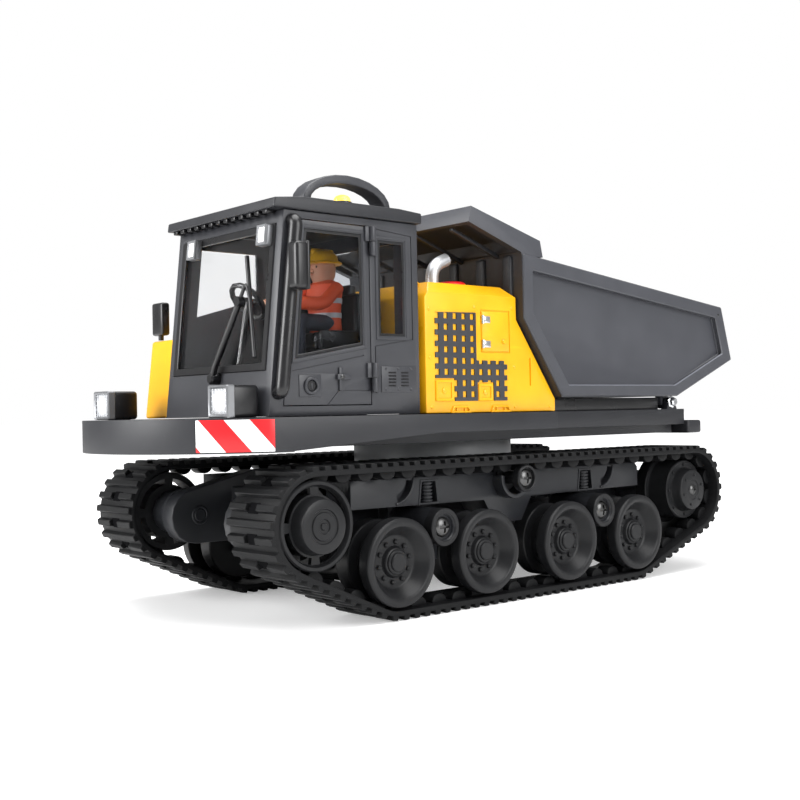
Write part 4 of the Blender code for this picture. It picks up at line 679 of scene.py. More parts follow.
def shape_faces(made, normal, scale):
    """Selects the faces that look one way and resizes them about their middle."""
    activate(made)
    bpy.ops.object.mode_set(mode="EDIT")
    bpy.ops.mesh.select_mode(type="FACE")
    bpy.ops.mesh.select_all(action="DESELECT")
    bpy.ops.object.mode_set(mode="OBJECT")
    picked = []
    for face in made.data.polygons:
        face.select = face.normal.dot(Vector(normal)) > 0.99
        if face.select:
            picked.append(face.center.copy())
    middle = sum(picked, Vector()) / len(picked)
    bpy.ops.object.mode_set(mode="EDIT")
    bpy.ops.transform.resize(value=scale, center_override=middle)
    bpy.ops.object.mode_set(mode="OBJECT")


def cross_screw(size):
    """A domed cross-head screw at the origin, facing +X."""
    profile = [(1.7, 0), (1.65, 1.2), (1.4, 2.4), (0.9, 3.4), (0.2, 4.0), (-0.4, 4.0), (-0.4, 0)]
    sized = [(along * size * MM, out * size * MM) for along, out in profile]
    made = turn_on("screw", sized, (0, 0, 0), (1, 0, 0), 28)
    reach = 2.3 * size * MM
    half = 0.5 * size * MM
    corner = [(reach, half), (half, half), (half, reach)]
    plus = []
    for quarter in range(4):
        turn = Matrix.Rotation(math.pi / 2 * quarter, 2)
        plus += [turn @ Vector(point) for point in corner]
    carve(made, cut_out("cross", plus, 0.5 * size * MM, 3 * size * MM))
    smooth(made)
    return paint(made, "dark_metal")


def placed_screw(size, spot, side):
    """A cross-head screw seated at a spot and facing outwards."""
    made = cross_screw(size)
    made.data.transform(Matrix.Translation(spot) @ Matrix.Rotation(0 if side > 0 else math.pi, 4, "Z"))
    return made


def ring_of(count, radius, out, start=0.0):
    """Moves that carry a master at the origin to places round the X axis, out along it."""
    moves = []
    for step in range(count):
        turn = start + 2 * math.pi * step / count
        moves.append(Matrix.Translation((out, radius * math.cos(turn), radius * math.sin(turn))))
    return moves


def bent(points, radius, steps=6):
    """A path of points, given in millimetres, with its corners rounded off."""
    points = [Vector(point) * MM for point in points]
    radius = radius * MM
    path = [points[0]]
    for before, corner, after in zip(points, points[1:], points[2:]):
        start = corner + (before - corner).normalized() * radius
        end = corner + (after - corner).normalized() * radius
        for step in range(steps + 1):
            share = step / steps
            path.append(start.lerp(corner, share).lerp(corner.lerp(end, share), share))
    path.append(points[-1])
    return path


def tube(name, path, radius, finish, fineness=4):
    """A line drawn through points, turned into a round tube with closed ends."""
    draw_line(name, path)
    bpy.ops.object.mode_set(mode="OBJECT")
    bpy.ops.object.convert(target="CURVE")
    made = bpy.context.object
    made.data.bevel_depth = radius
    made.data.bevel_resolution = fineness
    made.data.use_fill_caps = True
    bpy.ops.object.convert(target="MESH")
    made = bpy.context.object
    made.name = name
    smooth(made, 50)
    return paint(made, finish)


def pad(name, low, high, finish, edge=0.3, segments=2):
    """A rounded block, given in millimetres."""
    made = block(name, [part * MM for part in low], [part * MM for part in high], edge * MM, segments)
    return paint(made, finish)


def plate(name, outline, low, high, finish, axis="X", edge=0.2):
    """A rounded plate cut to an outline, given in millimetres."""
    made = cut_out(name, scaled(outline), low * MM, high * MM, axis, edge * MM)
    return paint(made, finish)


def disc(name, profile, centre, way, finish, steps=32):
    """A turned piece, given in millimetres."""
    made = turn_on(name, scaled(profile), [part * MM for part in centre], way, steps)
    return paint(made, finish)


def border(name, outer, inner, low, high, finish, axis="X", edge=0.15):
    """A flat ring between two outlines, given in millimetres."""
    made = cut_out(name, scaled(outer), low * MM, high * MM, axis)
    carve(made, cut_out("opening", scaled(inner), (low - 1) * MM, (high + 1) * MM, axis))
    soften(made, edge * MM, 1)
    return paint(made, finish)


def box_outline(left, right, low, high):
    """A rectangle's corners."""
    return [(left, low), (right, low), (right, high), (left, high)]


def inset(outline, amount):
    """A convex outline drawn in by an amount on every side."""
    points = [Vector(point) for point in outline]
    middle = sum(points, Vector((0, 0))) / len(points)
    lines = []
    for here, there in zip(points, points[1:] + points[:1]):
        way = (there - here).normalized()
        normal = Vector((-way.y, way.x))
        if normal.dot(middle - here) < 0:
            normal = -normal
        lines.append((here + normal * amount, way))
    drawn = []
    for (spot, way), (other, turn) in zip(lines[-1:] + lines[:-1], lines):
        share = (other - spot).cross(turn) / way.cross(turn)
        drawn.append(spot + way * share)
    return drawn


def groove(made, path, plane, depth=0.4, width=0.4):
    """Cuts a narrow seam along a path of (y, z) points into a face that looks along X, in millimetres."""
    reach = math.copysign(depth, plane)
    for start, end in zip(path, path[1:]):
        way = (Vector(end) - Vector(start)).normalized()
        aside = Vector((-way.y, way.x)) * width / 2
        along = way * width / 2
        corners = [
            Vector(start) - along + aside,
            Vector(start) - along - aside,
            Vector(end) + along - aside,
            Vector(end) + along + aside,
        ]
        carve(made, cut_out("seam", scaled(corners), (plane - reach) * MM, (plane + reach) * MM))


def rivets(name, places, plane, finish, radius=0.75):
    """Domed rivets at (y, z) places on a face that looks along X, in millimetres."""
    head = [(0.55, 0), (0.5, 0.4), (0.3, 0.75), (0, 1.0), (-0.4, 1.0), (-0.4, 0)]
    side = 1 if plane > 0 else -1
    profile = [(along * radius, out * radius) for along, out in head]
    made = disc("rivet", profile, (0, 0, 0), (side, 0, 0), finish, 12)
    return stamp(name, made, [Matrix.Translation(Vector((plane, y, z)) * MM) for y, z in places])


def belt_station(share):
    """Centre of turning and facing angle of the belt's path at a share of one lap."""
    corners = [Vector(corner) for corner in BELT_CORNERS]
    legs = []
    facings = []
    for i, corner in enumerate(corners):
        way = corners[(i + 1) % 4] - corner
        facings.append(math.atan2(-way.x, way.y))
    for i, corner in enumerate(corners):
        way = corners[(i + 1) % 4] - corner
        turn = (facings[(i + 1) % 4] - facings[i]) % (2 * math.pi)
        legs.append((way.length, corner, way, facings[i], 0.0))
        legs.append((BELT_NEUTRAL_RADIUS * turn, corner + way, None, facings[i], turn))
    lap = sum(leg[0] for leg in legs)
    left = (share % 1.0) * lap
    for length, corner, way, facing, turn in legs:
        if left <= length:
            break
        left -= length
    part = left / length
    centre = corner + way * part if way else corner
    return centre, facing + turn * part


def belt_move(share, radius):
    """Carries a master at the origin, its Z pointing away from the wheels, to a place on the belt."""
    centre, angle = belt_station(share)
    spot = Vector((0, centre.x + radius * math.cos(angle), centre.y + radius * math.sin(angle)))
    return Matrix.Translation(spot) @ Matrix.Rotation(angle - math.pi / 2, 4, "X")


# Operators, one for each piece or group of like pieces


class DUMPER_OT_finishes(bpy.types.Operator):
    """Makes every finish from the chosen colours"""

    bl_idname = "dumper.finishes"
    bl_label = "Finishes"

    def execute(self, context):
        hue = context.scene.dumper_colours
        body = hue.charcoal
        # Name, colour, roughness, grain to the metre, grain depth in millimetres, and what else differs
        moulded = {
            "charcoal": ("charcoal plastic", body, 0.42, 2600, 0.02, {}),
            # Painted shade: the body plastic at half its brightness, for faces under the bed's canopy and
            # on its front wall
            "inside": ("painted shade plastic", toned(body, 0.49), 0.5, 2500, 0.02, {}),
            "bed": ("bed plastic", toned(body, 1.62), 0.42, 2600, 0.02, {}),
            # Painted highlight: the body plastic at 4.5 times its brightness, for the up-facing lower edges
            # of the bed's side borders
            "edge": ("rubbed edge", toned(body, 4.5), 0.4, 2600, 0.02, {}),
            "deck": ("deck plastic", toned(body, 0.6), 0.42, 2600, 0.02, {"shine": 0.38}),
            "chassis": ("chassis plastic", hue.chassis, 0.4, 2600, 0.02, {"dust": 0.01, "shine": 0.38}),
            "wheel": ("wheel plastic", hue.wheel, 0.36, 2600, 0.02, {"dust": 0.006, "shine": 0.24}),
            "black": ("black plastic", hue.black, 0.3, 2600, 0.015, {}),
            "yellow": ("yellow plastic", hue.yellow, 0.32, 2600, 0.012, {}),
            "red": ("red plastic", hue.signal_red, 0.3, 2600, 0.01, {}),
            "rubber": ("track rubber", hue.rubber, 0.5, 1500, 0.05, {"dust": 0.012, "shine": 0.17}),
            # Painted shade: near-black with almost no gloss, for the flat patches that stand where the
            # belt's openings would be recessed
            "pit": ("painted shade window", (0.004, 0.004, 0.0045), 0.95, 1500, 0.01, {"shine": 0.02}),
            "turntable": ("pale turntable", (0.3, 0.31, 0.32), 0.35, 1800, 0.01, {}),
            "silver": ("plated metal", (0.72, 0.73, 0.75), 0.22, 1200, 0.01, {"metallic": 1.0}),
            "dark_metal": ("dark screw", (0.09, 0.09, 0.09), 0.28, 1500, 0.01, {"metallic": 1.0}),
            "mirror": ("mirror glass", (0.8, 0.82, 0.84), 0.12, 800, 0.002, {"metallic": 1.0}),
            "satin": ("satin metal", (0.5, 0.51, 0.53), 0.4, 1500, 0.01, {"metallic": 0.8}),
            "lamp_rim": ("lamp rim", (0.22, 0.225, 0.235), 0.38, 1500, 0.01, {"metallic": 0.7}),
            "vest": ("orange vest", (0.8, 0.09, 0.02), 0.6, 1800, 0.04, {}),
            "pale": ("pale trim", (0.5, 0.5, 0.5), 0.5, 1800, 0.02, {}),
            "helmet": ("helmet", (0.8, 0.42, 0.01), 0.3, 2200, 0.01, {}),
            "skin": ("painted skin", (0.55, 0.27, 0.16), 0.5, 2200, 0.01, {}),
            "trousers": ("dark trousers", (0.03, 0.035, 0.05), 0.7, 1500, 0.04, {}),
            "cells": ("cell wrap", (0.6, 0.12, 0.02), 0.3, 2200, 0.01, {}),
            "board": ("circuit board", (0.01, 0.12, 0.04), 0.35, 900, 0.03, {}),
        }
        for key, (name, colour, rough, grain, depth, more) in moulded.items():
            FINISHES[key] = moulded_finish(name, colour, rough, grain, depth * MM, **more)
        FINISHES["headlight"] = headlight_finish("headlight", (0.5, 0.51, 0.53), (44.0 * MM, 82.8 * MM))
        FINISHES["lens"] = lamp_finish("lit lens", (0.9, 0.9, 0.9, 1), 0.75)
        FINISHES["amber"] = lamp_finish("amber lens", (1.0, 0.6, 0.1, 1), 1.6)
        FINISHES["stripes"] = stripe_finish("warning stripes", hue.signal_red, (0.82, 0.82, 0.83))
        FINISHES["clear"] = window_finish("clear window", (0.97, 0.975, 0.98, 1))
        FINISHES["tinted"] = window_finish("tinted window", (0.62, 0.64, 0.67, 1))
        return {"FINISHED"}


class DUMPER_OT_plain_nodes(bpy.types.Operator):
    """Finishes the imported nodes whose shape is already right"""

    bl_idname = "dumper.plain_nodes"
    bl_label = "Plain nodes"

    def execute(self, context):
        for node, finish in PLAIN_NODES.items():
            paint(frame["nodes"][node], finish)
        return {"FINISHED"}


class DUMPER_OT_rounded_nodes(bpy.types.Operator):
    """Stands rounded copies in for the nodes that no other operator models"""

    bl_idname = "dumper.rounded_nodes"
    bl_label = "Rounded nodes"

    def execute(self, context):
        size = context.scene.dumper_sizes
        body_of = {}
        for body, nodes in frame["record"]["behaviour"]["bodies"].items():
            for node in nodes:
                body_of[node] = body
        slot_of = {entry["node"]: entry["material_slot"] for entry in frame["record"]["subparts"]}
        for node, shown in frame["nodes"].items():
            if shown.hide_render or node in PLAIN_NODES:
                continue
            made = rounded_node(node, ROUNDED_SLOTS[slot_of[node]], size.edge_round)
            seat_on(made, body_of[node], slot_of[node], node)
        return {"FINISHED"}


class DUMPER_OT_track_belts(bpy.types.Operator):
    """Models the rubber belts: a band, cross bars with flat dark patches between them as painted shade, and
    guide pads inside
    """

    bl_idname = "dumper.track_belts"
    bl_label = "Track belts"

    def execute(self, context):
        size = context.scene.dumper_sizes
        count = size.tread_bars
        rubber = [self.band(count * 2), self.bars(size, count), self.guides(size, count // 2)]
        for made in rubber:
            paint(made, "rubber")
        # The dark patches are painted shade in place of recessed openings
        left = gather("left_belt", rubber + [paint(self.windows(count), "pit")])
        for made, word in ((mirrored(left, "right_belt"), "right"), (left, "left")):
            seat_on(made, "chassis", "track_rubber", f"{word}_track_belt")
        return {"FINISHED"}

    def band(self, stations):
        """The smooth band, drawn as a loop, pulled across and thickened."""
        radius = BELT_NEUTRAL_RADIUS
        loop = []
        for i in range(stations + 1):
            centre, angle = belt_station(i / stations)
            y = centre.x + radius * math.cos(angle)
            z = centre.y + radius * math.sin(angle)
            loop.append((BELT_INNER_X, y, z))
        made = draw_line("band", loop)
        bpy.ops.mesh.remove_doubles(threshold=1e-6)
        width = BELT_OUTER_X - BELT_INNER_X
        bpy.ops.mesh.extrude_region_move(TRANSFORM_OT_translate={"value": (width, 0, 0)})
        close_mesh()
        wall = made.modifiers.new("wall", "SOLIDIFY")
        wall.thickness = BELT_BASE
        wall.offset = 0
        bpy.ops.object.modifier_apply(modifier=wall.name)
        soften(made, 0.3 * MM)
        return made

    def bar(self, size, low, high):
        """One cross bar, narrowed towards its top and rounded."""
        half = size.tread_bar_width / 2
        made = block("bar", (low, -half, -0.4 * MM), (high, half, LUG_HEIGHT))
        shape_faces(made, (0, 0, 1), scale=(1, 0.72, 1))
        soften(made, 0.25 * MM, 1)
        return made

    def bars(self, size, count):
        """Whole bars and split bars by turns, all round the belt."""
        window = 6.4 * MM
        inner_end = BELT_MIDDLE_X - window / 2
        outer_end = BELT_MIDDLE_X + window / 2
        places = [belt_move((i + 0.5) / count, BELT_FACE_RADIUS) for i in range(count)]
        whole = stamp("whole_bars", self.bar(size, BELT_INNER_X, BELT_OUTER_X), places[::2])
        inner = stamp("inner_bars", self.bar(size, BELT_INNER_X, inner_end), places[1::2])
        outer = stamp("outer_bars", self.bar(size, outer_end, BELT_OUTER_X), places[1::2])
        return gather("bars", [whole, inner, outer])

    def windows(self, count):
        """Flat near-black patches between the split bars: painted shade where the sprocket openings would
        be recessed.
        """
        across = 3 * MM
        along = 2 * MM
        low = (BELT_MIDDLE_X - across, -along, -0.3 * MM)
        # The patch sits flush on the belt face: painted shade rather than a recess
        pit = block("pit", low, (BELT_MIDDLE_X + across, along, 0.08 * MM), 0.05 * MM, 1)
        places = [belt_move((i + 0.5) / count, BELT_FACE_RADIUS) for i in range(1, count, 2)]
        return stamp("windows", pit, places)

    def guides(self, size, count):
        """Round-topped pads that run in the wheels' grooves."""
        half = 3.7 * MM
        rise = size.guide_height
        outline = [(half, 0.4 * MM)]
        for step in range(9):
            turn = math.pi * step / 8
            outline.append((half * math.cos(turn), -0.5 * MM - (rise - 0.5 * MM) * math.sin(turn)))
        outline.append((-half, 0.4 * MM))
        guide = cut_out("guide", outline, 53 * MM, 59.4 * MM, "X", 0.3 * MM)
        places = [belt_move((i + 0.25) / count, BELT_INNER_RADIUS) for i in range(count)]
        return stamp("guides", guide, places)


class DUMPER_OT_road_wheels(bpy.types.Operator):
    """Models the dished road wheels with their hub caps and bolt rings"""

    bl_idname = "dumper.road_wheels"
    bl_label = "Road wheels"

    def execute(self, context):
        size = context.scene.dumper_sizes
        master = self.wheel(size)
        for word, side in SIDES:
            for place, y in WHEEL_PLACES.items():
                node = f"{word}_{place}_wheel"
                move = Matrix.Translation((0, y, WHEEL_Z)) @ Matrix.Scale(side, 4, (1, 0, 0))
                made = copy_of(master, move, node + "_shape")
                seat_on(made, node, "charcoal_plastic", node)
        bpy.data.objects.remove(master)
        return {"FINISHED"}

    def wheel(self, size):
        """A left wheel about the X axis."""
        rim = size.wheel_radius / MM
        profile = [
            (63.9, 0), (63.9, 3.2), (63.6, 3.6), (63.1, 3.7), (63.1, 4.3), (62.8, 4.7), (62.2, 4.8),
            (62.1, 5.2), (61.8, 5.5), (60.9, 5.7), (60.4, 6.1), (60.3, 6.6), (60.3, 9.4), (60.5, 10.0),
            (61.0, 10.5), (64.8, 13.2), (65.4, 13.7), (65.6, 14.1), (65.6, 16.0), (65.4, rim - 0.4),
            (65.0, rim - 0.1), (64.2, rim), (60.5, rim), (60.1, rim - 0.3), (60.0, rim - 0.8), (59.6, 11.2),
            (52.0, 11.2), (52.0, rim - 1.6), (51.6, rim - 1.2), (45.0, rim - 1.2), (44.5, rim - 1.7),
            (44.5, 2.6), (58.5, 2.6), (58.5, 0),
        ]
        turned = paint(turn_on("wheel", scaled(profile), (0, 0, 0), (1, 0, 0), 56), "wheel")
        head = [(1.1, 0), (1.05, 0.5), (0.75, 0.85), (0.1, 1.0), (-0.3, 1.0), (-0.3, 0)]
        bolt = paint(turn_on("bolt", scaled(head), (0, 0, 0), (1, 0, 0), 10), "wheel")
        bolts = stamp("bolts", bolt, ring_of(size.wheel_bolts, radius=7.6 * MM, out=60.3 * MM, start=0.2))
        return gather("wheel_master", [turned, bolts])


class DUMPER_OT_end_wheels(bpy.types.Operator):
    """Models the slotted idlers and the bolted drive sprockets"""

    bl_idname = "dumper.end_wheels"
    bl_label = "Idlers and sprockets"

    def execute(self, context):
        masters = ((self.idler(), "idler", IDLER_Y), (self.sprocket(), "sprocket", SPROCKET_Y))
        for master, part, y in masters:
            for word, side in SIDES:
                move = Matrix.Translation((0, y, AXLE_Z)) @ Matrix.Scale(side, 4, (1, 0, 0))
                made = copy_of(master, move, f"{word}_{part}_shape")
                seat_on(made, f"{word}_{part}", "charcoal_plastic", f"{word}_{part}")
            bpy.data.objects.remove(master)
        return {"FINISHED"}

    def idler(self):
        """A ringed hub cap, a web with four curved slots and a grooved rim."""
        profile = [
            (67, 0), (67, 1.1), (66.5, 1.4), (66.5, 2.4), (67, 2.7), (67, 4.9), (66.5, 5.2), (66.5, 6.0),
            (67, 6.3), (67, 8.9), (66.7, 9.6), (66, 9.9), (62, 10.2), (61.3, 10.6), (61.3, 13.9),
            (62.4, 14.2), (63, 14.7), (63, 15.8), (62.5, 16.4), (60.0, 16.4), (59.5, 16.0), (59.5, 11.2),
            (49.5, 11.2), (49.5, 16.0), (49.1, 16.4), (41, 16.4), (40.5, 15.9), (40.5, 4.4), (55.5, 4.4),
            (55.5, 0),
        ]
        made = turn_on("idler", scaled(profile), (0, 0, 0), (1, 0, 0), 64)
        slots = []
        slot_start = 8.3
        slot_sweep = 73.4
        for quarter in range(4):
            start = math.radians(90 * quarter + slot_start)
            outline = []
            for radius, order in ((13.8, range(9)), (11.35, range(8, -1, -1))):
                for step in order:
                    turn = start + math.radians(slot_sweep * step / 8)
                    outline.append((radius * MM * math.cos(turn), radius * MM * math.sin(turn)))
            slots.append(cut_out("slot", outline, 39 * MM, 64 * MM))
        carve(made, gather("slots", slots))
        smooth(made)
        return paint(made, "wheel")

    def sprocket(self):
        """A drum with a bolted face plate and a capped hub."""
        cap_face = 62.2
        profile = [
            (cap_face, 0), (cap_face, 4.6), (62.5, 4.8), (62.5, 8.7), (62.2, 9.4), (61.4, 9.8),
            (57.9, 10.1), (57.3, 10.6), (57.3, 12.9), (57.5, 13.1), (57.5, 13.6), (57.1, 14.0),
            (47.6, 14.0), (47, 14.4), (47, 16.0), (46.6, 16.4), (41, 16.4), (40.5, 15.9),
            (40.5, 4.4), (55.5, 4.4), (55.5, 0),
        ]
        turned = paint(turn_on("sprocket", scaled(profile), (0, 0, 0), (1, 0, 0), 64), "wheel")
        head = [(0.7, 0), (0.65, 0.4), (0.4, 0.65), (-0.3, 0.7), (-0.3, 0)]
        small = paint(turn_on("bolt", scaled(head), (0, 0, 0), (1, 0, 0), 10), "wheel")
        spare = copy_of(small, Matrix.Identity(4))
        outer = stamp("face_bolts", small, ring_of(8, radius=11.9 * MM, out=57.3 * MM))
        inner = stamp("cap_bolts", spare, ring_of(6, radius=7.2 * MM, out=62.4 * MM, start=0.3))
        screw = cross_screw(0.62)
        screw.data.transform(Matrix.Translation((cap_face * MM, 0, 0)))
        return gather("sprocket_master", [turned, outer, inner, screw])


class DUMPER_OT_bogies(bpy.types.Operator):
    """Finishes the bogies and upper rollers with recessed cross-head screws"""

    bl_idname = "dumper.bogies"
    bl_label = "Bogies and rollers"

    def execute(self, context):
        for word, side in SIDES:
            for end, y in BOGIE_PLACES.items():
                self.bogie(f"{word}_{end}_bogie", side, y)
            self.roller(word, side)
        return {"FINISHED"}

    def bogie(self, node, side, y):
        """A bogie with a screw in the pit of its collared boss."""
        made = rounded_node(node, "chassis", 0.5 * MM)
        centre = (0, y, BOGIE_Z)
        floor = 62.4
        pit = [(floor, 0), (floor, 5.0), (66, 5.0), (66, 0)]
        carve(made, turn_on("pit", scaled(pit), centre, (side, 0, 0), 40))
        collar = [(62.6, 5.2), (64.3, 5.2), (64.6, 5.6), (64.6, 6.9), (64.3, 7.3), (60, 7.3), (60, 5.2)]
        ring = turn_on("collar", scaled(collar + collar[:1]), centre, (side, 0, 0), 40)
        screw = placed_screw(1.0, (side * floor * MM, y, BOGIE_Z), side)
        made = gather(f"{node}_shape", [made, paint(ring, "wheel"), screw])
        seat_on(made, node, "charcoal_plastic", node)

    def roller(self, word, side):
        """The double-flanged carrier roller with a screw in its end."""
        end = 62.6
        profile = [
            (end, 0), (end, 4.4), (63.8, 4.5), (64, 4.8), (64, 5.2), (63.6, 5.6), (60.4, 5.6), (60, 5.2),
            (60, 2.8), (52, 2.8), (52, 5.2), (51.6, 5.6), (46.9, 5.6), (46.5, 5.2), (46.5, 1.6),
            (55.5, 1.6), (55.5, 0),
        ]
        centre = (0, ROLLER_Y, ROLLER_Z)
        turned = paint(turn_on("roller", scaled(profile), centre, (side, 0, 0), 40), "wheel")
        screw = placed_screw(0.95, (side * end * MM, ROLLER_Y, ROLLER_Z), side)
        made = gather(f"{word}_upper_roller_shape", [turned, screw])
        seat_on(made, f"{word}_upper_roller", "charcoal_plastic", f"{word}_upper_roller")


class DUMPER_OT_engine_cover(bpy.types.Operator):
    """Models the engine cover with its mesh plates, hatches, panels, foot steps and rivets"""

    bl_idname = "dumper.engine_cover"
    bl_label = "Engine cover"

    def execute(self, context):
        wall = COVER_HALF_WIDTH / MM
        shell = rounded_node("engine_cover", "yellow", 0.9 * MM, 3)
        slit = [(12.9, 88.6), (12.9, 99.2)]
        hatch_edge = [(-16, 101.8), (0.6, 101.8), (0.6, 119), (-16, 119), (-16, 101.8)]
        for side in (1, -1):
            groove(shell, slit, side * wall, 0.6, 1.1)
            groove(shell, hatch_edge, side * wall, 0.35, 0.5)
        parts = [self.mesh_plate(wall), self.hatch(wall), self.panels(wall), self.steps(wall)]
        places = [
            (-44.9, 118.3), (-19.7, 120.2), (2.5, 120.7), (-44.8, 99.1),
            (3.4, 95.8), (-44.2, 79.4), (3.2, 79.1), (25.0, 79.0),
        ]
        parts.append(rivets("rivets", places, wall, "yellow"))
        left = gather("cover_side", parts)
        right = mirrored(left, "cover_far_side")
        made = gather("engine_cover_shape", [shell, left, right, self.cap(), self.top_rivets()])
        seat_on(made, "deck", "yellow_plastic", "engine_cover")
        self.exhaust()
        return {"FINISHED"}

    def mesh_plate(self, wall):
        """The dark grille: an L-shaped plate with rows of small openings."""
        tall_end = -19.3
        outline = [
            (-41.9, 117.2), (tall_end, 117.8), (tall_end, 98.3), (-1.4, 98.3), (-1.6, 81.8), (-9.5, 81.8),
            (-9.5, 89.4), (-18.9, 89.4), (-18.9, 81.8), (-31.7, 81.8), (-31.7, 91.0), (-42.1, 91.0),
        ]
        made = plate("grille", outline, wall - 0.3, wall + 0.55, "charcoal", "X", 0.12)
        openings = []
        columns = [-41.2, -36.3, -31.3, -26.4, -21.6, -16.9, -12.0, -7.1, -2.3]
        top_row = 116
        row_step = 4.5
        half_width = 1.05
        half_height = 1.2
        for y in columns:
            first_row = 0 if y < tall_end else 4
            for row in range(first_row, 8):
                z = top_row - row * row_step
                low = Vector((wall - 1, y - half_width, z - half_height)) * MM
                high = Vector((wall + 1, y + half_width, z + half_height)) * MM
                openings.append(block("opening", low, high))
        carve(made, gather("openings", openings))
        smooth(made)
        return made

    def hatch(self, wall):
        """A flat hatch with two plated hinges and a knob."""
        outline = box_outline(-15.5, 0.1, 102.3, 118.5)
        parts = [plate("hatch", outline, wall - 0.2, wall + 0.3, "yellow", "X", 0.2)]
        barrel = [(-1.7, 0), (-1.7, 0.75), (1.7, 0.75), (1.7, 0)]
        for z in (115.2, 105.1):
            parts.append(pad("leaf", (wall, -14.6, z - 1.4), (wall + 0.75, -11.2, z + 1.4), "silver", 0.15))
            parts.append(disc("barrel", barrel, (wall + 0.5, -15.4, z), (0, 0, 1), "silver", 16))
        knob = [(0.9, 0), (0.8, 0.7), (0.4, 1.0), (-0.2, 1.0), (-0.2, 0)]
        parts.append(disc("knob", knob, (wall + 0.3, -3.2, 106.3), (1, 0, 0), "yellow", 18))
        return gather("hatch", parts)

    def panels(self, wall):
        """Two small framed panels with a bump in each."""
        parts = []
        knob = [(0.7, 0), (0.6, 0.8), (0.3, 1.2), (-0.2, 1.3), (-0.2, 0)]
        for left, right, low, high in ((-42.2, -32.4, 81.8, 90.3), (-18.3, -10.1, 81.8, 88.8)):
            outer = box_outline(left, right, low, high)
            inner = inset(outer, 1.1)
            parts.append(border("rim", outer, inner, wall - 0.2, wall + 0.7, "yellow", "X", 0.2))
            spot = (wall, (left + right) / 2, (low + high) / 2)
            parts.append(disc("bump", knob, spot, (1, 0, 0), "yellow", 18))
        return gather("panels", parts)

    def steps(self, wall):
        """Two trapezoid foot steps, hollowed at the front."""
        parts = []
        foot = 77.0
        top = 79.8
        slant = 1.4
        for left, right in ((-34.1, -22.9), (-11.4, 0.3)):
            outer = [(left, foot), (right, foot), (right - slant, top), (left + slant, top)]
            inner = inset(outer, 0.75)
            parts.append(border("step", outer, inner, wall - 0.2, wall + 0.9, "yellow", "X", 0.15))
            for share in (0.3, 0.7):
                y = left + (right - left) * share
                low = (wall - 0.2, y - 0.4, foot + 0.2)
                parts.append(pad("rib", low, (wall + 0.6, y + 0.4, top - 0.6), "yellow", 0.1))
        return gather("steps", parts)

    def cap(self):
        """The red filler cap on top."""
        profile = [(4.2, 0), (4.2, 5.2), (3.9, 5.9), (3.3, 6.3), (0.4, 6.5), (-0.5, 6.5), (-0.5, 0)]
        return disc("cap", profile, (36.5, -15, COVER_TOP / MM - 1.6), (0, 0, 1), "red", 40)

    def top_rivets(self):
        """Rivets along the cover's top edges."""
        head = [(0.5, 0), (0.4, 0.5), (0.2, 0.8), (-0.4, 0.9), (-0.4, 0)]
        rivet = disc("rivet", head, (0, 0, 0), (0, 0, 1), "yellow", 12)
        spots = [Vector((x, y, COVER_TOP / MM)) * MM for x in (-46, 46) for y in (-43, -29, -15)]
        return stamp("top_rivets", rivet, [Matrix.Translation(spot) for spot in spots])

    def exhaust(self):
        """The bent exhaust stack, open at its mouth."""
        x = 40
        y = -29
        path = bent([(x, y, 129.4), (x, y, 137.5), (x, -20.9, 141)], 5, 10)
        stack = tube("stack", path, 2.75 * MM, "satin", 8)
        way = (path[-1] - path[-2]).normalized()
        bore = turn_on("bore", scaled([(-3, 0), (-3, 2.1), (2, 2.1), (2, 0)]), path[-1], way, 32)
        carve(stack, bore)
        smooth(stack, 50)
        flange = [(1.2, 0), (1.2, 3.4), (0.8, 3.8), (0.1, 3.9), (0.1, 0)]
        foot = disc("foot", flange, (x, y, COVER_TOP / MM), (0, 0, 1), "satin")
        made = gather("exhaust_shape", [stack, foot])
        seat_on(made, "deck", "bright_metal", "exhaust_pipe")


class DUMPER_OT_side_hood(bpy.types.Operator):
    """Finishes the right-hand hood with a grille and rivets"""

    bl_idname = "dumper.side_hood"
    bl_label = "Side hood"

    def execute(self, context):
        shell = rounded_node("side_hood", "yellow", 1.2 * MM, 3)
        wall = -COVER_HALF_WIDTH / MM
        parts = [shell]
        for z in (86, 89, 92, 95, 98):
            low = (wall - 0.5, -96, z - 0.7)
            parts.append(pad("slat", low, (wall + 0.3, -70, z + 0.7), "charcoal", 0.2))
        corners = box_outline(-99, -67, 82, 102)
        parts.append(rivets("rivets", corners, wall, "yellow"))
        made = gather("side_hood_shape", parts)
        seat_on(made, "deck", "yellow_plastic", "side_hood")
        return {"FINISHED"}


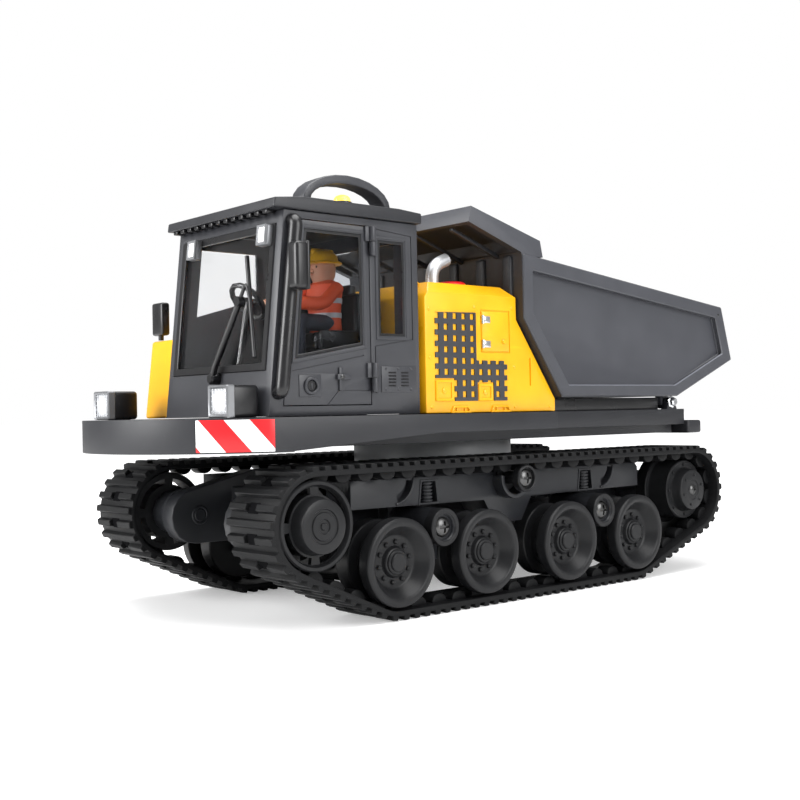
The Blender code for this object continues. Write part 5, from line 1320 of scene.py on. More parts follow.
class DUMPER_OT_cab_shell(bpy.types.Operator):
    """Models the cab shell with its seams, window seals, rivet panel, work lamps and wiper"""

    bl_idname = "dumper.cab_shell"
    bl_label = "Cab shell"

    def execute(self, context):
        shell = rounded_node("cab_shell", "charcoal", 0.6 * MM, 3)
        wall = CAB_LEFT / MM
        groove(shell, [(-72.1, 85.4), (-72.1, 103), (-53.2, 106), (-53.2, 146), (-72.1, 147.6)], wall)
        parts = [shell, self.rivet_panel(wall)]
        quarter = box_outline(-70, -57, 107, 143.5)
        parts.append(border("seal", quarter, inset(quarter, 1.0), wall - 0.6, wall - 0.1, "black"))
        rim = box_outline(-71.6, -55.4, 105.4, 145.1)
        parts.append(border("rim", rim, inset(rim, 1.0), wall - 0.2, wall + 0.35, "charcoal"))
        parts += self.front_parts()
        parts += self.wiper()
        made = gather("cab_shell_shape", parts)
        seat_on(made, "deck", "charcoal_plastic", "cab_shell")
        return {"FINISHED"}

    def rivet_panel(self, wall):
        """The vent panel behind the door: two columns of black bars that paint the shade of slots, and six
        rivets.
        """
        outline = box_outline(-69.5, -51.9, 85.4, 95.4)
        parts = [plate("vent", outline, wall - 0.2, wall + 0.3, "charcoal", "X", 0.15)]
        places = [(y, z) for y in (-67.4, -61.2, -54.6) for z in (86.6, 94.5)]
        parts.append(rivets("rivets", places, wall + 0.3, "charcoal", 0.65))
        first_slot = 88
        slot_step = 1.25
        half_width = 1.9
        half_height = 0.32
        for y in (-64.2, -57.8):
            for step in range(5):
                z = first_slot + step * slot_step
                low = (wall, y - half_width, z - half_height)
                high = (wall + 0.42, y + half_width, z + half_height)
                # Black bars instead of cut slots: painted shade where the slots' recesses would be
                parts.append(pad("slot", low, high, "black", 0.08, 1))
        return gather("vent", parts)

    def lean(self, made):
        """Carries a piece modelled upright at the sill onto the raked front."""
        turn = Matrix.Rotation(-math.atan2(CAB_SETBACK, CAB_RISE), 4, "X")
        sill = 95 * MM
        made.data.transform(Matrix.Translation((0, cab_front_y(sill), sill)) @ turn)
        return made

    def front_parts(self):
        """The seal and two work lamps of the windshield, drawn upright and leaned back."""
        glass = box_outline(-12, 49, 0, 50.3)
        seal = border("seal", inset(glass, -1.6), inset(glass, 1.3), -0.5, 0.45, "black", "Y", 0.3)
        parts = [self.lean(seal)]
        lamp_width = 6.2
        foot = 43.6
        top = 51.4
        for left in (43.0, -5.2):
            right = left + lamp_width
            middle = left + lamp_width / 2
            case = pad("case", (left, -3.0, foot), (right, -0.1, top), "lamp_rim", 0.7, 3)
            shape_faces(case, (0, 1, 0), scale=(0.8, 1, 0.8))
            rim = box_outline(left + 0.1, right - 0.1, foot + 0.1, top - 0.1)
            bezel = border("bezel", rim, inset(rim, 1.1), -3.6, -2.6, "lamp_rim", "Y", 0.25)
            face = plate("face", inset(rim, 1.0), -3.2, -2.5, "lens", "Y", 0.2)
            bracket = pad("bracket", (middle - 1.5, -1.5, 46), (middle + 1.5, 0.2, 49), "black")
            parts += [self.lean(piece) for piece in (case, bezel, face, bracket)]
        return parts

    def wiper(self):
        """The wiper: a pivot, a stout arm and a blade that crosses the glass."""
        out = (0, -1, 0)
        foot = [(4.2, 0), (4.2, 1.5), (3.6, 2.1), (-1, 2.2), (-1, 0)]
        foot_x = 19.2
        foot_z = 91.5
        pivot = disc("pivot", foot, (foot_x, -119.6, foot_z), out, "black")
        elbow = (33.9, -119.4, 119.4)
        reach = [(foot_x, -122.4, foot_z), (20.4, -122.3, 95), elbow]
        arm = tube("arm", bent(reach, 2), 1.25 * MM, "black")
        knuckle = [(1.6, 0), (1.6, 1.9), (-1.4, 1.9), (-1.4, 0)]
        joint = disc("joint", knuckle, (elbow[0], elbow[1] + 0.2, elbow[2]), out, "black", 20)
        link = tube("link", bent([elbow, (37.4, -118.6, 126.5), (40.2, -118.5, 118)], 3), 0.7 * MM, "black")
        spots = ((35.2, -116.6, 136.1), (40.2, -118.7, 117.3), (45.2, -120.7, 98.5))
        blade = tube("blade", [Vector(spot) * MM for spot in spots], 0.85 * MM, "black", 2)
        return [pivot, arm, joint, link, blade]


class DUMPER_OT_cab_door(bpy.types.Operator):
    """Models the door with its window seal, seams, lock and latch"""

    bl_idname = "dumper.cab_door"
    bl_label = "Cab door"

    def execute(self, context):
        door = rounded_node("cab_door", "charcoal", 0.4 * MM, 2)
        wall = CAB_LEFT / MM
        groove(door, [(-112.4, 93.0), (-78.0, 99.3)], wall, 0.35, 0.35)
        groove(door, [(-95.2, 81.2), (-90.1, 86.2), (-76, 86.2)], wall, 0.35, 0.35)
        parts = [door, self.seal(wall), self.lock(wall), self.latch(wall)]
        made = gather("cab_door_shape", parts)
        seat_on(made, "door", "charcoal_plastic", "cab_door")
        return {"FINISHED"}

    def seal(self, wall):
        """The black seal and the raised rim round the door's window."""
        front = 9.6
        rear = -78.1
        sill = 97.7
        top = 145
        opening = [
            (cab_front_y(sill * MM) / MM + front, sill),
            (rear, 103.2),
            (rear, top),
            (cab_front_y(top * MM) / MM + front, top),
        ]
        seal = border("seal", inset(opening, 0.1), inset(opening, 1.2), wall - 0.5, wall - 0.05, "black")
        rim = border("rim", inset(opening, -1.5), inset(opening, -0.4), wall - 0.2, wall + 0.35, "charcoal")
        return gather("seal", [seal, rim])

    def lock(self, wall):
        """A round lock on a rounded square boss."""
        square = box_outline(-108.3, -98.3, 83.9, 92)
        boss = plate("boss", square, wall - 0.2, wall + 0.35, "charcoal", "X", 0.3)
        spot = (wall + 0.3, -103.1, 87.9)
        ring = [(0.9, 2.2), (1.1, 2.4), (1.1, 3.0), (0.8, 3.3), (0, 3.4), (0, 2.2), (0.9, 2.2)]
        collar = disc("collar", ring, spot, (1, 0, 0), "charcoal", 36)
        plug = [(0.6, 0), (0.55, 1.7), (0.3, 2.0), (0, 2.0), (0, 0)]
        barrel = disc("barrel", plug, spot, (1, 0, 0), "black", 32)
        key = pad("key", (wall + 0.7, -103.4, 86.9), (wall + 1.1, -102.8, 88.9), "charcoal", 0.1)
        return gather("lock", [boss, collar, barrel, key])

    def latch(self, wall):
        """An upright latch with a pin and two rivets."""
        y = -89.4
        half = 0.9
        low = (wall - 0.2, y - half, 86.2)
        upright = pad("upright", low, (wall + 0.9, y + half, 94.8), "charcoal", 0.3)
        head = [(2.1, 0), (2.0, 0.6), (1.7, 0.9), (0, 0.9), (0, 0)]
        pin = disc("pin", head, (wall, y, 91.2), (1, 0, 0), "dark_metal", 16)
        heads = rivets("rivets", [(y, 93.5), (y, 86.9)], wall + 0.6, "dark_metal", 0.55)
        return gather("latch", [upright, pin, heads])


class DUMPER_OT_cab_roof(bpy.types.Operator):
    """Models the roof, its ribbed eave, the hoop and the lit beacon"""

    bl_idname = "dumper.cab_roof"
    bl_label = "Cab roof"

    def execute(self, context):
        roof = rounded_node("cab_roof", "deck", 1.7 * MM, 5)
        eave = cab_front_y(151 * MM) / MM
        parts = [roof]
        first_rib = -14
        rib_step = 5.2
        half_rib = 1.4
        for step in range(13):
            x = first_rib + step * rib_step
            low = (x - half_rib, eave - 4.3, 149.9)
            parts.append(pad("rib", low, (x + half_rib, eave - 0.4, 151.6), "black", 0.4))
        made = gather("cab_roof_shape", parts)
        seat_on(made, "deck", "charcoal_plastic", "cab_roof")
        hoop = rounded_node("roof_hoop", "charcoal", 0.8 * MM, 3)
        smooth(hoop, 60)
        seat_on(hoop, "deck", "charcoal_plastic", "roof_hoop")
        self.beacon()
        return {"FINISHED"}

    def beacon(self):
        """A domed amber lens on a black foot."""
        spot = (47, -81, 156.3)
        base = [(1.6, 0), (1.6, 3.5), (1.2, 3.9), (0.05, 4.0), (0.05, 0)]
        foot = disc("foot", base, spot, (0, 0, 1), "black")
        lens = [(4.3, 0), (4.2, 1.2), (3.8, 2.3), (3.2, 2.9), (2.6, 3.2), (1.4, 3.3), (1.4, 0)]
        lamp = disc("lens", lens, spot, (0, 0, 1), "amber", 28)
        made = gather("beacon_shape", [lamp, foot])
        seat_on(made, "deck", "amber_lens", "beacon")


class DUMPER_OT_cab_fittings(bpy.types.Operator):
    """Models the handrail and the two mirrors"""

    bl_idname = "dumper.cab_fittings"
    bl_label = "Handrail and mirrors"

    def execute(self, context):
        wall = 54.2
        out = 57.6
        top = 147.2
        foot = 85.4
        path = [(wall, -110.2, top), (out, -110.4, top), (out, -117.8, foot), (wall, -117.6, foot)]
        rail = tube("handrail_shape", bent(path, 2.6, 8), 2.5 * MM, "black", 8)
        seat_on(rail, "deck", "black_plastic", "handrail")
        self.left_mirror()
        self.right_mirror()
        return {"FINISHED"}

    def left_mirror(self):
        """A tall rounded case, narrower in front, with a rim and a glass that looks rearwards."""
        case = pad("case", (60.4, -116.8, 121.6), (66.4, -111.4, 138.4), "black", 1.5, 4)
        shape_faces(case, (0, -1, 0), scale=(0.72, 1, 0.86))
        rim = pad("rim", (60.2, -112.4, 121.4), (66.6, -110.9, 138.6), "black", 0.6, 3)
        glass = pad("glass", (61.0, -111.1, 122.4), (65.8, -110.8, 137.6), "mirror", 0.1)
        arm = tube("arm", bent([(61.4, -114.4, 130.5), (57.8, -112.6, 130.5)], 0.4), 1.1 * MM, "black")
        made = gather("left_mirror_shape", [case, rim, glass, arm])
        seat_on(made, "deck", "black_plastic", "left_mirror")

    def right_mirror(self):
        """A smaller case on a stem over the hood."""
        shape = rounded_node("right_mirror", "black", 0.9 * MM, 3)
        low = [min(vertex.co[axis] for vertex in shape.data.vertices) / MM for axis in range(3)]
        high = [max(vertex.co[axis] for vertex in shape.data.vertices) / MM for axis in range(3)]
        corner = (high[0] - 1, high[1] + 0.15, high[2] - 1)
        glass = pad("glass", (low[0] + 1, high[1] - 0.2, low[2] + 3.6), corner, "mirror", 0.1)
        made = gather("right_mirror_shape", [shape, glass])
        seat_on(made, "deck", "black_plastic", "right_mirror")


class DUMPER_OT_track_frames(bpy.types.Operator):
    """Models the track frames with crescent slots, spring pockets and roller cups, and the forked tub"""

    bl_idname = "dumper.track_frames"
    bl_label = "Track frames"

    def execute(self, context):
        face = 52.0
        crescents = ((-62, 52), (60.5, 52))
        pockets = ((-44.1, 46.1), (51.0, 46.1))
        for word, side in SIDES:
            node = f"{word}_track_frame"
            beam = rounded_node(node, "chassis", 0.7 * MM)
            parts = [beam]
            for crescent, pocket in zip(crescents, pockets):
                parts += self.crescent(beam, side * face, crescent)
                parts += self.pocket(beam, side * face, pocket)
            parts += self.roller_cup(side)
            made = gather(f"{node}_shape", parts)
            seat_on(made, "chassis", "charcoal_plastic", node)
        self.tub()
        return {"FINISHED"}

    def arc(self, centre, radius, start, end, steps=10):
        """Points of an arc in the side plane, in millimetres and degrees."""
        turns = [math.radians(start + (end - start) * step / steps) for step in range(steps + 1)]
        y, z = centre
        return [(y + radius * math.cos(turn), z + radius * math.sin(turn)) for turn in turns]

    def crescent(self, beam, face, centre):
        """A quarter-ring slot with a raised lip."""
        deep = face - math.copysign(3.0, face)
        proud = face + math.copysign(1.0, face)
        outline = self.arc(centre, 6.2, -80, -6) + self.arc(centre, 9.3, -6, -80)
        low, high = sorted((deep * MM, proud * MM))
        carve(beam, cut_out("slot", scaled(outline), low, high))
        lip = self.arc(centre, 9.4, -86, -2) + self.arc(centre, 10.4, -2, -86)
        low, high = sorted((face - math.copysign(0.3, face), face + math.copysign(0.6, face)))
        return [plate("lip", lip, low, high, "chassis", "X", 0.25)]

    def pocket(self, beam, face, centre):
        """A recessed pocket with a coil spring standing in it."""
        y, z = centre
        outline = [(y - 3.6, z + 4), (y + 3.6, z + 4), (y + 4.6, z - 4.2), (y - 4.6, z - 4.2)]
        deep = face - math.copysign(3.2, face)
        low, high = sorted((deep * MM, (face + math.copysign(1.0, face)) * MM))
        carve(beam, cut_out("pocket", scaled(outline), low, high))
        half_length = 4.1
        profile = [(-half_length, 0)]
        pitch = 1.37
        for turn in range(6):
            base = -half_length + turn * pitch
            profile += [(base, 1.9), (base + 0.25, 2.6), (base + 0.9, 2.6), (base + 1.15, 1.9)]
        profile.append((half_length, 0))
        spring = disc("spring", profile, (face - math.copysign(1.6, face), y, z), (0, 0, 1), "chassis", 20)
        rim = border("rim", inset(outline, -0.9), outline, face - 0.3, face + 0.3, "chassis", "X", 0.15)
        return [spring, rim]

    def roller_cup(self, side):
        """A curved cup under the upper roller."""
        centre = (ROLLER_Y / MM, ROLLER_Z / MM)
        outline = self.arc(centre, 6.7, 170, 350, 18) + self.arc(centre, 8.6, 350, 170, 18)
        low, high = sorted((side * 47.0, side * 57.5))
        return [plate("cup", outline, low, high, "chassis", "X", 0.4)]

    def tub(self):
        """The tub with its two rounded arms, each with a pin head on its inner face."""
        shell = rounded_node("chassis_tub", "chassis", 0.9 * MM, 3)
        parts = [shell]
        pin = [
            (0.5, 0), (0.5, 2.3), (0.2, 2.7), (0.6, 3.0), (0.6, 3.6), (0.2, 3.9), (-0.3, 3.9), (-0.3, 0),
        ]
        collar = [(27, 9.0), (27, 10.2), (28.6, 10.2), (29.0, 9.8), (29.0, 9.0), (27, 9.0)]
        axle = (0, IDLER_Y / MM, AXLE_Z / MM)
        for side in (1, -1):
            parts.append(disc("pin", pin, (side * 19, -105.5, 37.5), (-side, 0, 0), "chassis", 32))
            parts.append(disc("collar", collar, axle, (side, 0, 0), "chassis", 40))
        made = gather("chassis_tub_shape", parts)
        seat_on(made, "chassis", "charcoal_plastic", "chassis_tub")


class DUMPER_OT_deck(bpy.types.Operator):
    """Models the deck with its warning plates, rails and pivot bolts, and the pale turntable"""

    bl_idname = "dumper.deck"
    bl_label = "Deck"

    def execute(self, context):
        shell = rounded_node("deck", "deck", 0.8 * MM, 3)
        plates = [self.warning_plate()]
        plates.append(mirrored(plates[0], "far_plate"))
        made = gather("deck_shape", [shell, *plates, *self.pivot_bolts(), *self.rails()])
        seat_on(made, "deck", "charcoal_plastic", "deck")
        hub = rounded_node("turntable_hub", "turntable", 0.6 * MM)
        seat_on(hub, "deck", "charcoal_plastic", "turntable_hub")
        return {"FINISHED"}

    def rails(self):
        """Two dark rails between the deck and the bed."""
        made = []
        half_width = 2.2
        foot = 76.4
        top = 82.5
        for side in (1, -1):
            middle = side * 49.6
            low = (middle - half_width, 31, foot)
            made.append(pad("rail", low, (middle + half_width, 106, top), "black", 0.4))
        return made

    def warning_plate(self):
        """A striped plate laid on the nose's curve at the left corner."""
        nose = NOSE_RADIUS / MM
        inner_x = 41.5
        outer_x = 58
        foot = 64.9
        top = 76.2
        steps = 12
        start = math.degrees(math.asin(inner_x / nose))
        end = math.degrees(math.asin(outer_x / nose)) + 0.4
        points = []
        for radius, order in ((nose + 0.45, range(steps + 1)), (nose - 0.2, range(steps, -1, -1))):
            for step in order:
                turn = math.radians(start + (end - start) * step / steps)
                points.append((radius * math.sin(turn), NOSE_CENTRE_Y / MM - radius * math.cos(turn)))
        return plate("warning_plate", points, foot, top, "stripes", "Z", 0.15)

    def pivot_bolts(self):
        """Bolts at both ends of the load bed's pivot."""
        bolt = [(2.1, 0), (2.1, 1.6), (1.6, 2.1), (0.3, 2.2), (0, 3.0), (-0.6, 3.0), (-0.6, 0)]
        return [disc("bolt", bolt, (side * 54, 114, 80.3), (side, 0, 0), "silver", 6) for side in (1, -1)]


class DUMPER_OT_headlights(bpy.types.Operator):
    """Models the headlights: a black case, a plated rim and a lit fluted lens"""

    bl_idname = "dumper.headlights"
    bl_label = "Headlights"

    def execute(self, context):
        left = self.lamp()
        right = mirrored(left, "right_headlight_shape")
        for made, word in ((left, "left"), (right, "right")):
            seat_on(made, "deck", "black_plastic", f"{word}_headlight")
        return {"FINISHED"}

    def lamp(self):
        """The left lamp."""
        case = pad("case", (37.7, -134.2, 76.9), (50.3, -122.4, 88.4), "black", 1.4, 4)
        shape_faces(case, (0, 1, 0), scale=(0.92, 1, 0.94))
        rim = box_outline(37.5, 50.5, 76.9, 88.5)
        glass_front = -135.2
        hood = border("hood", rim, inset(rim, 1.2), -136.0, -132.6, "lamp_rim", "Y", 0.5)
        lens = plate("lens", inset(rim, 1.1), glass_front, -133.8, "headlight", "Y", 0.5)
        flutes = []
        proud = glass_front - 0.3
        sunk = glass_front + 0.2
        for step in range(5):
            x = 40.0 + step * 1.95
            z = 78.9 + step * 1.85
            flutes.append(pad("flute", (x, proud, 78.2), (x + 0.5, sunk, 87.2), "headlight", 0.1))
            flutes.append(pad("flute", (39.0, proud, z), (49.0, sunk, z + 0.45), "headlight", 0.1))
        foot = pad("foot", (41, -132, 76.8), (47, -124, 78), "black", 0.3)
        return gather("left_headlight_shape", [case, hood, lens, *flutes, foot])


class DUMPER_OT_load_bed(bpy.types.Operator):
    """Models the load bed with its ribs, the lift rams and the tail bumper"""

    bl_idname = "dumper.load_bed"
    bl_label = "Load bed"

    def execute(self, context):
        bed = rounded_node("dump_body", "bed", 0.9 * MM, 3)
        # Faces under the canopy and on the front wall take the darker copy of the body plastic: painted
        # shade
        second_finish(bed, "inside", self.painted_shade_faces)
        parts = [bed, *self.side_borders(bed)]
        parts += [*self.front_ribs(), *self.canopy_ribs(), *self.corner_bolts()]
        made = gather("dump_body_shape", parts)
        seat_on(made, "dump_body", "charcoal_plastic", "dump_body")
        for word in ("left", "right"):
            ram = rounded_node(f"{word}_lift_cylinder", "black", 0.4 * MM)
            seat_on(ram, f"{word}_lift_cylinder", "black_plastic", f"{word}_lift_cylinder")
        bumper = rounded_node("tail_bumper", "deck", 1.0 * MM, 3)
        seat_on(bumper, "deck", "charcoal_plastic", "tail_bumper")
        return {"FINISHED"}

    def painted_shade_faces(self, centre, normal):
        """True under the canopy and on the front wall, which take a darker copy of the body plastic as
        painted shade.
        """
        canopy_low = 138 * MM
        wall_front = -20 * MM
        wall_rear = 29 * MM
        if normal.z < -0.4 and centre.z > canopy_low:
            return True
        return normal.y < -0.4 and wall_front < centre.y < wall_rear

    def side_borders(self, bed):
        """Deepens the side panels and stands a border round each."""
        outer = [(6.2, 143.8), (6.2, 116.4), (29.7, 83), (112.6, 83), (158.4, 101), (150.5, 127.2)]
        inner = [(12.4, 136.8), (12.4, 118.4), (34.0, 88.4), (110.6, 88.4), (150.2, 104.2), (145.0, 121.8)]
        made = []
        panel_floor = 55.6
        past_wall = 60
        border_foot = 57.8
        border_face = 58.7
        for side in (1, -1):
            low, high = sorted((side * panel_floor * MM, side * past_wall * MM))
            carve(bed, cut_out("panel", scaled(inner), low, high))
            low, high = sorted((side * border_foot, side * border_face))
            ring = border("border", inset(outer, 0.2), inner, low, high, "bed", "X", 0.5)
            # The up-facing lower edges of each border take a much paler copy of the body plastic: painted
            # highlight
            second_finish(ring, "edge", self.rubbed)
            made.append(ring)
        smooth(bed)
        return made

    def rubbed(self, centre, normal):
        """True on the panel's lower edges, which face up and take a painted highlight."""
        return normal.z > 0.3 and centre.z < 119 * MM

    def front_ribs(self):
        """Upright ribs on the outside of the bed's front wall, in the darker copy of the body plastic as
        painted shade.
        """
        places = (-50, -34, -17, 0, 17, 34, 50)
        return [pad("rib", (x - 2.4, 4.6, 117), (x + 2.4, 7.0, 143.2), "inside", 0.8, 3) for x in places]

    def canopy_ribs(self):
        """Ribs under the canopy, rising towards its lip, in the darker copy of the body plastic as painted
        shade.
        """
        outline = [(5.6, 142.6), (5.6, 144.6), (-21.5, 153.8), (-21.5, 152.4)]
        places = (-44, -22, 0, 22, 44)
        return [plate("rib", outline, x - 1.1, x + 1.1, "inside", "X", 0.3) for x in places]

    def corner_bolts(self):
        """Small bolts at the bed's tail corners."""
        bolt = [(0.8, 0), (0.7, 0.7), (0.4, 1.1), (-0.3, 1.2), (-0.3, 0)]
        return [
            disc("bolt", bolt, (side * 58, 147.3, 123.2), (side, 0, 0), "dark_metal", 16)
            for side in (1, -1)
        ]


class DUMPER_OT_cab_inside(bpy.types.Operator):
    """Models the seat, the steering wheel and the small figure that drives"""

    bl_idname = "dumper.cab_inside"
    bl_label = "Seat and driver"

    def execute(self, context):
        self.seat()
        self.driver()
        wheel = rounded_node("steering_wheel", "black", 0.25 * MM)
        smooth(wheel, 60)
        cap = [(0.8, 0), (0.7, 1.6), (0.2, 2.0), (-1, 2.0), (-1, 0)]
        boss = disc("boss", cap, (CAB_MIDDLE / MM, -105, 121.15), (0, 0.766, 0.643), "black")
        made = gather("steering_wheel_shape", [wheel, boss])
        seat_on(made, "deck", "black_plastic", "steering_wheel")
        return {"FINISHED"}

    def seat(self):
        """A padded seat with side bolsters and a head rest."""
        middle = CAB_MIDDLE / MM
        parts = [
            pad("base", (middle - 13, -82, 76.85), (middle + 13, -56, 103), "black", 1.5, 3),
            pad("cushion", (middle - 12, -82.2, 102), (middle + 12, -61, 109.8), "black", 2.4, 4),
            pad("back", (middle - 11.5, -62, 107), (middle + 11.5, -56.2, 126), "black", 2.2, 4),
            pad("rest", (middle - 6, -61, 124.5), (middle + 6, -56.6, 129.9), "black", 1.6, 4),
        ]
        for side in (-1, 1):
            low = middle + side * 12.2
            parts.append(pad("bolster", (low - 1.2, -81, 103), (low + 1.2, -62, 110.5), "black", 1.0, 3))
        made = gather("seat_shape", parts)
        seat_on(made, "deck", "black_plastic", "seat")

    def driver(self):
        """A generic toy figure in a helmet and a vest with pale bands."""
        parts = [*self.figure_body(), *self.figure_head()]
        for side in (-1, 1):
            parts += self.figure_limbs(side)
        made = gather("driver_shape", parts)
        seat_on(made, "deck", "figure_plastic", "driver")

    def from_hip(self, x, y, z):
        """A place on the figure, counted from the middle of its hips."""
        return (FIGURE_HIP[0] + x, FIGURE_HIP[1] + y, FIGURE_HIP[2] + z)

    def figure_body(self):
        """The vest and its bands, turned and then flattened from front to back."""
        vest = [
            (0, 0), (0, 7.6), (1.5, 8.6), (7, 8.2), (12.5, 8.6), (17, 9.2), (19.8, 8.4), (21.4, 5.2),
            (22, 3.0), (24, 2.6), (24, 0),
        ]
        parts = [disc("torso", vest, (0, 0, 0), (0, 0, 1), "vest", 32)]
        for low, radius in ((6.2, 8.5), (12.0, 8.95)):
            high = low + 2.0
            inner = radius - 0.6
            ring = [(low, inner), (low, radius), (high, radius + 0.15), (high, inner), (low, inner)]
            parts.append(disc("band", ring, (0, 0, 0), (0, 0, 1), "pale", 32))
        flat = Matrix.Translation(Vector(FIGURE_HIP) * MM) @ Matrix.Diagonal((1.0, 0.66, 1.0, 1.0))
        for made in parts:
            made.data.transform(flat)
        return parts

    def figure_head(self):
        """A plain face under a helmet with a peak and a ridge."""
        up = (0, 0, 1)
        skull = [
            (-6.6, 0), (-6.4, 2.0), (-5.2, 3.9), (-2.5, 5.0), (0.5, 5.3), (3.5, 5.0), (5.5, 3.6),
            (6.6, 1.6), (6.8, 0),
        ]
        nose = [(-1.4, 0), (-0.6, 0.9), (0.6, 0.8), (1.2, 0)]
        parts = [
            disc("head", skull, self.from_hip(0, -0.5, 25.9), up, "skin", 28),
            disc("nose", nose, self.from_hip(0, -5.9, 25.2), up, "skin", 12),
        ]
        eye = [(0.25, 0), (0.2, 0.5), (-0.2, 0.65), (-0.2, 0)]
        for side in (-1, 1):
            parts.append(disc("eye", eye, self.from_hip(side * 1.9, -5.2, 26.8), (0, -1, 0), "black", 12))
        dome = [
            (0, 0), (0, 7.6), (0.4, 8.0), (1.0, 7.6), (1.2, 6.5), (3.2, 6.1), (5.0, 4.6), (6.0, 2.4),
            (6.3, 0),
        ]
        peak = (self.from_hip(-4.2, -10.0, 27.8), self.from_hip(4.2, -5.5, 28.8))
        ridge = (self.from_hip(-1.0, -6.0, 30.1), self.from_hip(1.0, 4.8, 34.5))
        parts.append(disc("helmet", dome, self.from_hip(0, -0.6, 28.0), up, "helmet", 32))
        parts.append(pad("peak", *peak, "helmet", 0.45, 3))
        parts.append(pad("ridge", *ridge, "helmet", 0.9, 3))
        return parts

    def figure_limbs(self, side):
        """An arm that reaches for the steering wheel, and a leg in a boot."""
        hand = self.from_hip(side * 7.6, -22.0, 11.4)
        arm = [self.from_hip(side * 8.8, 0, 18.2), self.from_hip(side * 11.6, -9.5, 11.0), hand]
        grip = [(-2.4, 0), (-2.0, 1.7), (0, 2.4), (1.8, 1.9), (2.4, 0)]
        knee = side * 5.6
        leg = [
            self.from_hip(side * 4.6, 1.5, 3.9),
            self.from_hip(knee, -17.5, 4.4),
            self.from_hip(knee, -20.0, -30.1),
        ]
        boot = (self.from_hip(knee - 2.9, -25.5, -32.75), self.from_hip(knee + 2.9, -16.6, -28.3))
        return [
            tube("sleeve", bent(arm, 3.2), 2.7 * MM, "vest", 6),
            disc("hand", grip, hand, (0, -1, 0.2), "skin", 16),
            tube("leg", bent(leg, 3.4), 3.4 * MM, "trousers", 6),
            pad("boot", *boot, "black", 1.4, 4),
        ]


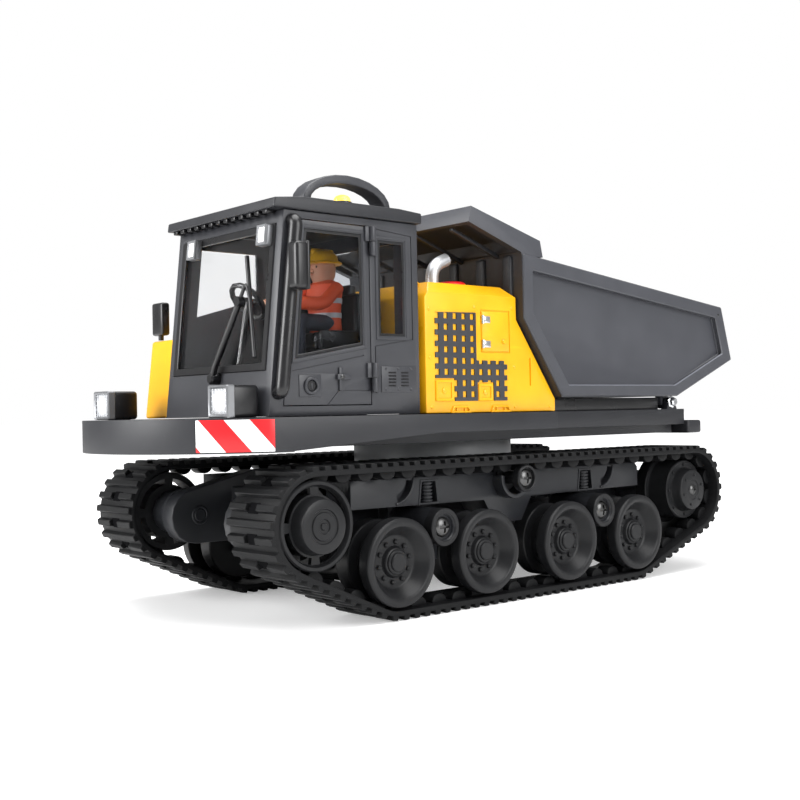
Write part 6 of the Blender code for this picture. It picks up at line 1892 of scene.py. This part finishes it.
class DUMPER_OT_stage(bpy.types.Operator):
    """Sets the floor, the soft light, the white surround and the camera"""

    bl_idname = "dumper.stage"
    bl_label = "Stage"

    def execute(self, context):
        deselect()
        width = 30
        below_belts = -0.2 * MM
        bpy.ops.mesh.primitive_plane_add(size=width, location=(0, 0, below_belts))
        floor = context.object
        floor.name = "floor"
        floor.data.materials.append(self.floor_finish())
        self.surround(context)
        self.lamps(context)
        self.camera(context)
        return {"FINISHED"}

    def floor_finish(self):
        """Pale floor that reads as white away from the shadow."""
        made, tree, shader = blank_finish("pale floor")
        fill(shader, {"Base Color": (0.86, 0.86, 0.86, 1), "Emission Color": (1, 1, 1, 1)})
        fill(shader, {"Roughness": 0.9, "Specular IOR Level": 0.1})
        path = group_node(tree, "ShaderNodeLightPath", (-700, -300))
        seen = group_node(tree, "ShaderNodeMath", (-450, -300), operation="MAXIMUM")
        glow = group_node(tree, "ShaderNodeMath", (-250, -300), operation="MULTIPLY")
        place = group_node(tree, "ShaderNodeTexCoord", (-1100, -550))
        away = group_node(tree, "ShaderNodeVectorMath", (-900, -550), operation="LENGTH")
        fade = group_node(tree, "ShaderNodeMapRange", (-650, -550))
        fill(fade, {"From Min": 0.16, "From Max": 0.5, "To Min": 0.3, "To Max": 0.9})
        wire(
            tree,
            (place, "Object", away, 0),
            (away, "Value", fade, "Value"),
            (fade, "Result", glow, 1),
            (path, "Is Camera Ray", seen, 0),
            (path, "Is Transmission Ray", seen, 1),
            (seen, "Value", glow, 0),
            (glow, "Value", shader, "Emission Strength"),
        )
        return made

    def surround(self, context):
        """A white surround for what is seen directly, and softer levels for its light and reflections."""
        world = bpy.data.worlds.new("surround")
        context.scene.world = world
        world.use_nodes = True
        tree = world.node_tree
        back = tree.nodes["Background"]
        back.inputs["Color"].default_value = (1, 1, 1, 1)
        path = group_node(tree, "ShaderNodeLightPath", (-900, 0))
        seen = group_node(tree, "ShaderNodeMath", (-650, 0), operation="MAXIMUM")
        shiny = group_node(tree, "ShaderNodeMapRange", (-450, -200))
        fill(shiny, {"To Min": 0.36, "To Max": 0.42})
        level = group_node(tree, "ShaderNodeMix", (-250, 0))
        level.inputs["B"].default_value = 1.0
        wire(
            tree,
            (path, "Is Camera Ray", seen, 0),
            (path, "Is Transmission Ray", seen, 1),
            (path, "Is Glossy Ray", shiny, "Value"),
            (seen, "Value", level, "Factor"),
            (shiny, "Result", level, "A"),
            (level, "Result", back, "Strength"),
        )

    def lamps(self, context):
        """Soft boxes above, to the left and in front."""
        boxes = (
            ("top_box", (0.1, -0.1, 0.9), (0, 0, 0.05), 0.9, 13.0),
            ("left_box", (0.9, 0.1, 0.45), (0, 0, 0.06), 0.6, 6.4),
            ("front_box", (-0.25, -0.95, 0.4), (0, 0, 0.07), 0.6, 11.0),
        )
        for name, spot, target, width, power in boxes:
            lamp = bpy.data.lights.new(name, "AREA")
            lamp.size = width
            lamp.energy = power
            made = bpy.data.objects.new(name, lamp)
            made.location = spot
            way = Vector(target) - Vector(spot)
            made.rotation_euler = way.to_track_quat("-Z", "Y").to_euler()
            context.scene.collection.objects.link(made)

    def camera(self, context):
        """The photograph's viewpoint."""
        azimuth = math.radians(49.04)
        elevation = math.radians(-0.60)
        roll = math.radians(-1.1)
        spot = Vector((396.82, -357.45, 77.71)) * MM
        focal_length = 52.9
        back = Vector(
            (
                math.sin(azimuth) * math.cos(elevation),
                -math.cos(azimuth) * math.cos(elevation),
                math.sin(elevation),
            )
        )
        right = (-back).cross(Vector((0, 0, 1))).normalized()
        up = right.cross(-back)
        tilted_right = math.cos(roll) * right + math.sin(roll) * up
        tilted_up = -math.sin(roll) * right + math.cos(roll) * up
        turn = Matrix((tilted_right, tilted_up, back)).transposed().to_4x4()
        lens = bpy.data.cameras.new("camera")
        lens.lens = focal_length
        lens.sensor_width = 36
        lens.clip_start = 0.01
        made = bpy.data.objects.new("camera", lens)
        made.matrix_world = Matrix.Translation(spot) @ turn
        context.scene.collection.objects.link(made)
        context.scene.camera = made
        context.scene.view_settings.view_transform = "Standard"


class DUMPER_PT_panel(bpy.types.Panel):
    """Lists the dumper's operators"""

    bl_label = "Tracked Dumper"
    bl_idname = "DUMPER_PT_panel"
    bl_space_type = "VIEW_3D"
    bl_region_type = "UI"
    bl_category = "Dumper"

    def draw(self, context):
        layout = self.layout
        for step in STEPS:
            layout.operator(step.bl_idname)
        for group in (context.scene.dumper_sizes, context.scene.dumper_colours):
            for field in group.bl_rna.properties:
                if not field.is_readonly and field.identifier != "name":
                    layout.prop(group, field.identifier)


STEPS = (
    DUMPER_OT_finishes,
    DUMPER_OT_plain_nodes,
    DUMPER_OT_track_belts,
    DUMPER_OT_road_wheels,
    DUMPER_OT_end_wheels,
    DUMPER_OT_bogies,
    DUMPER_OT_engine_cover,
    DUMPER_OT_side_hood,
    DUMPER_OT_cab_shell,
    DUMPER_OT_cab_door,
    DUMPER_OT_cab_roof,
    DUMPER_OT_cab_fittings,
    DUMPER_OT_track_frames,
    DUMPER_OT_deck,
    DUMPER_OT_headlights,
    DUMPER_OT_load_bed,
    DUMPER_OT_cab_inside,
    DUMPER_OT_rounded_nodes,
    DUMPER_OT_stage,
)
CLASSES = (DumperSizes, DumperColours, *STEPS, DUMPER_PT_panel)


def register():
    for entry in CLASSES:
        bpy.utils.register_class(entry)
    bpy.types.Scene.dumper_sizes = bpy.props.PointerProperty(type=DumperSizes)
    bpy.types.Scene.dumper_colours = bpy.props.PointerProperty(type=DumperColours)


def unregister():
    del bpy.types.Scene.dumper_colours
    del bpy.types.Scene.dumper_sizes
    for entry in reversed(CLASSES):
        bpy.utils.unregister_class(entry)


def main():
    """Registers the add-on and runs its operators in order."""
    register()
    for step in STEPS:
        group, action = step.bl_idname.split(".")
        getattr(getattr(bpy.ops, group), action)()


if __name__ == "__main__":
    main()
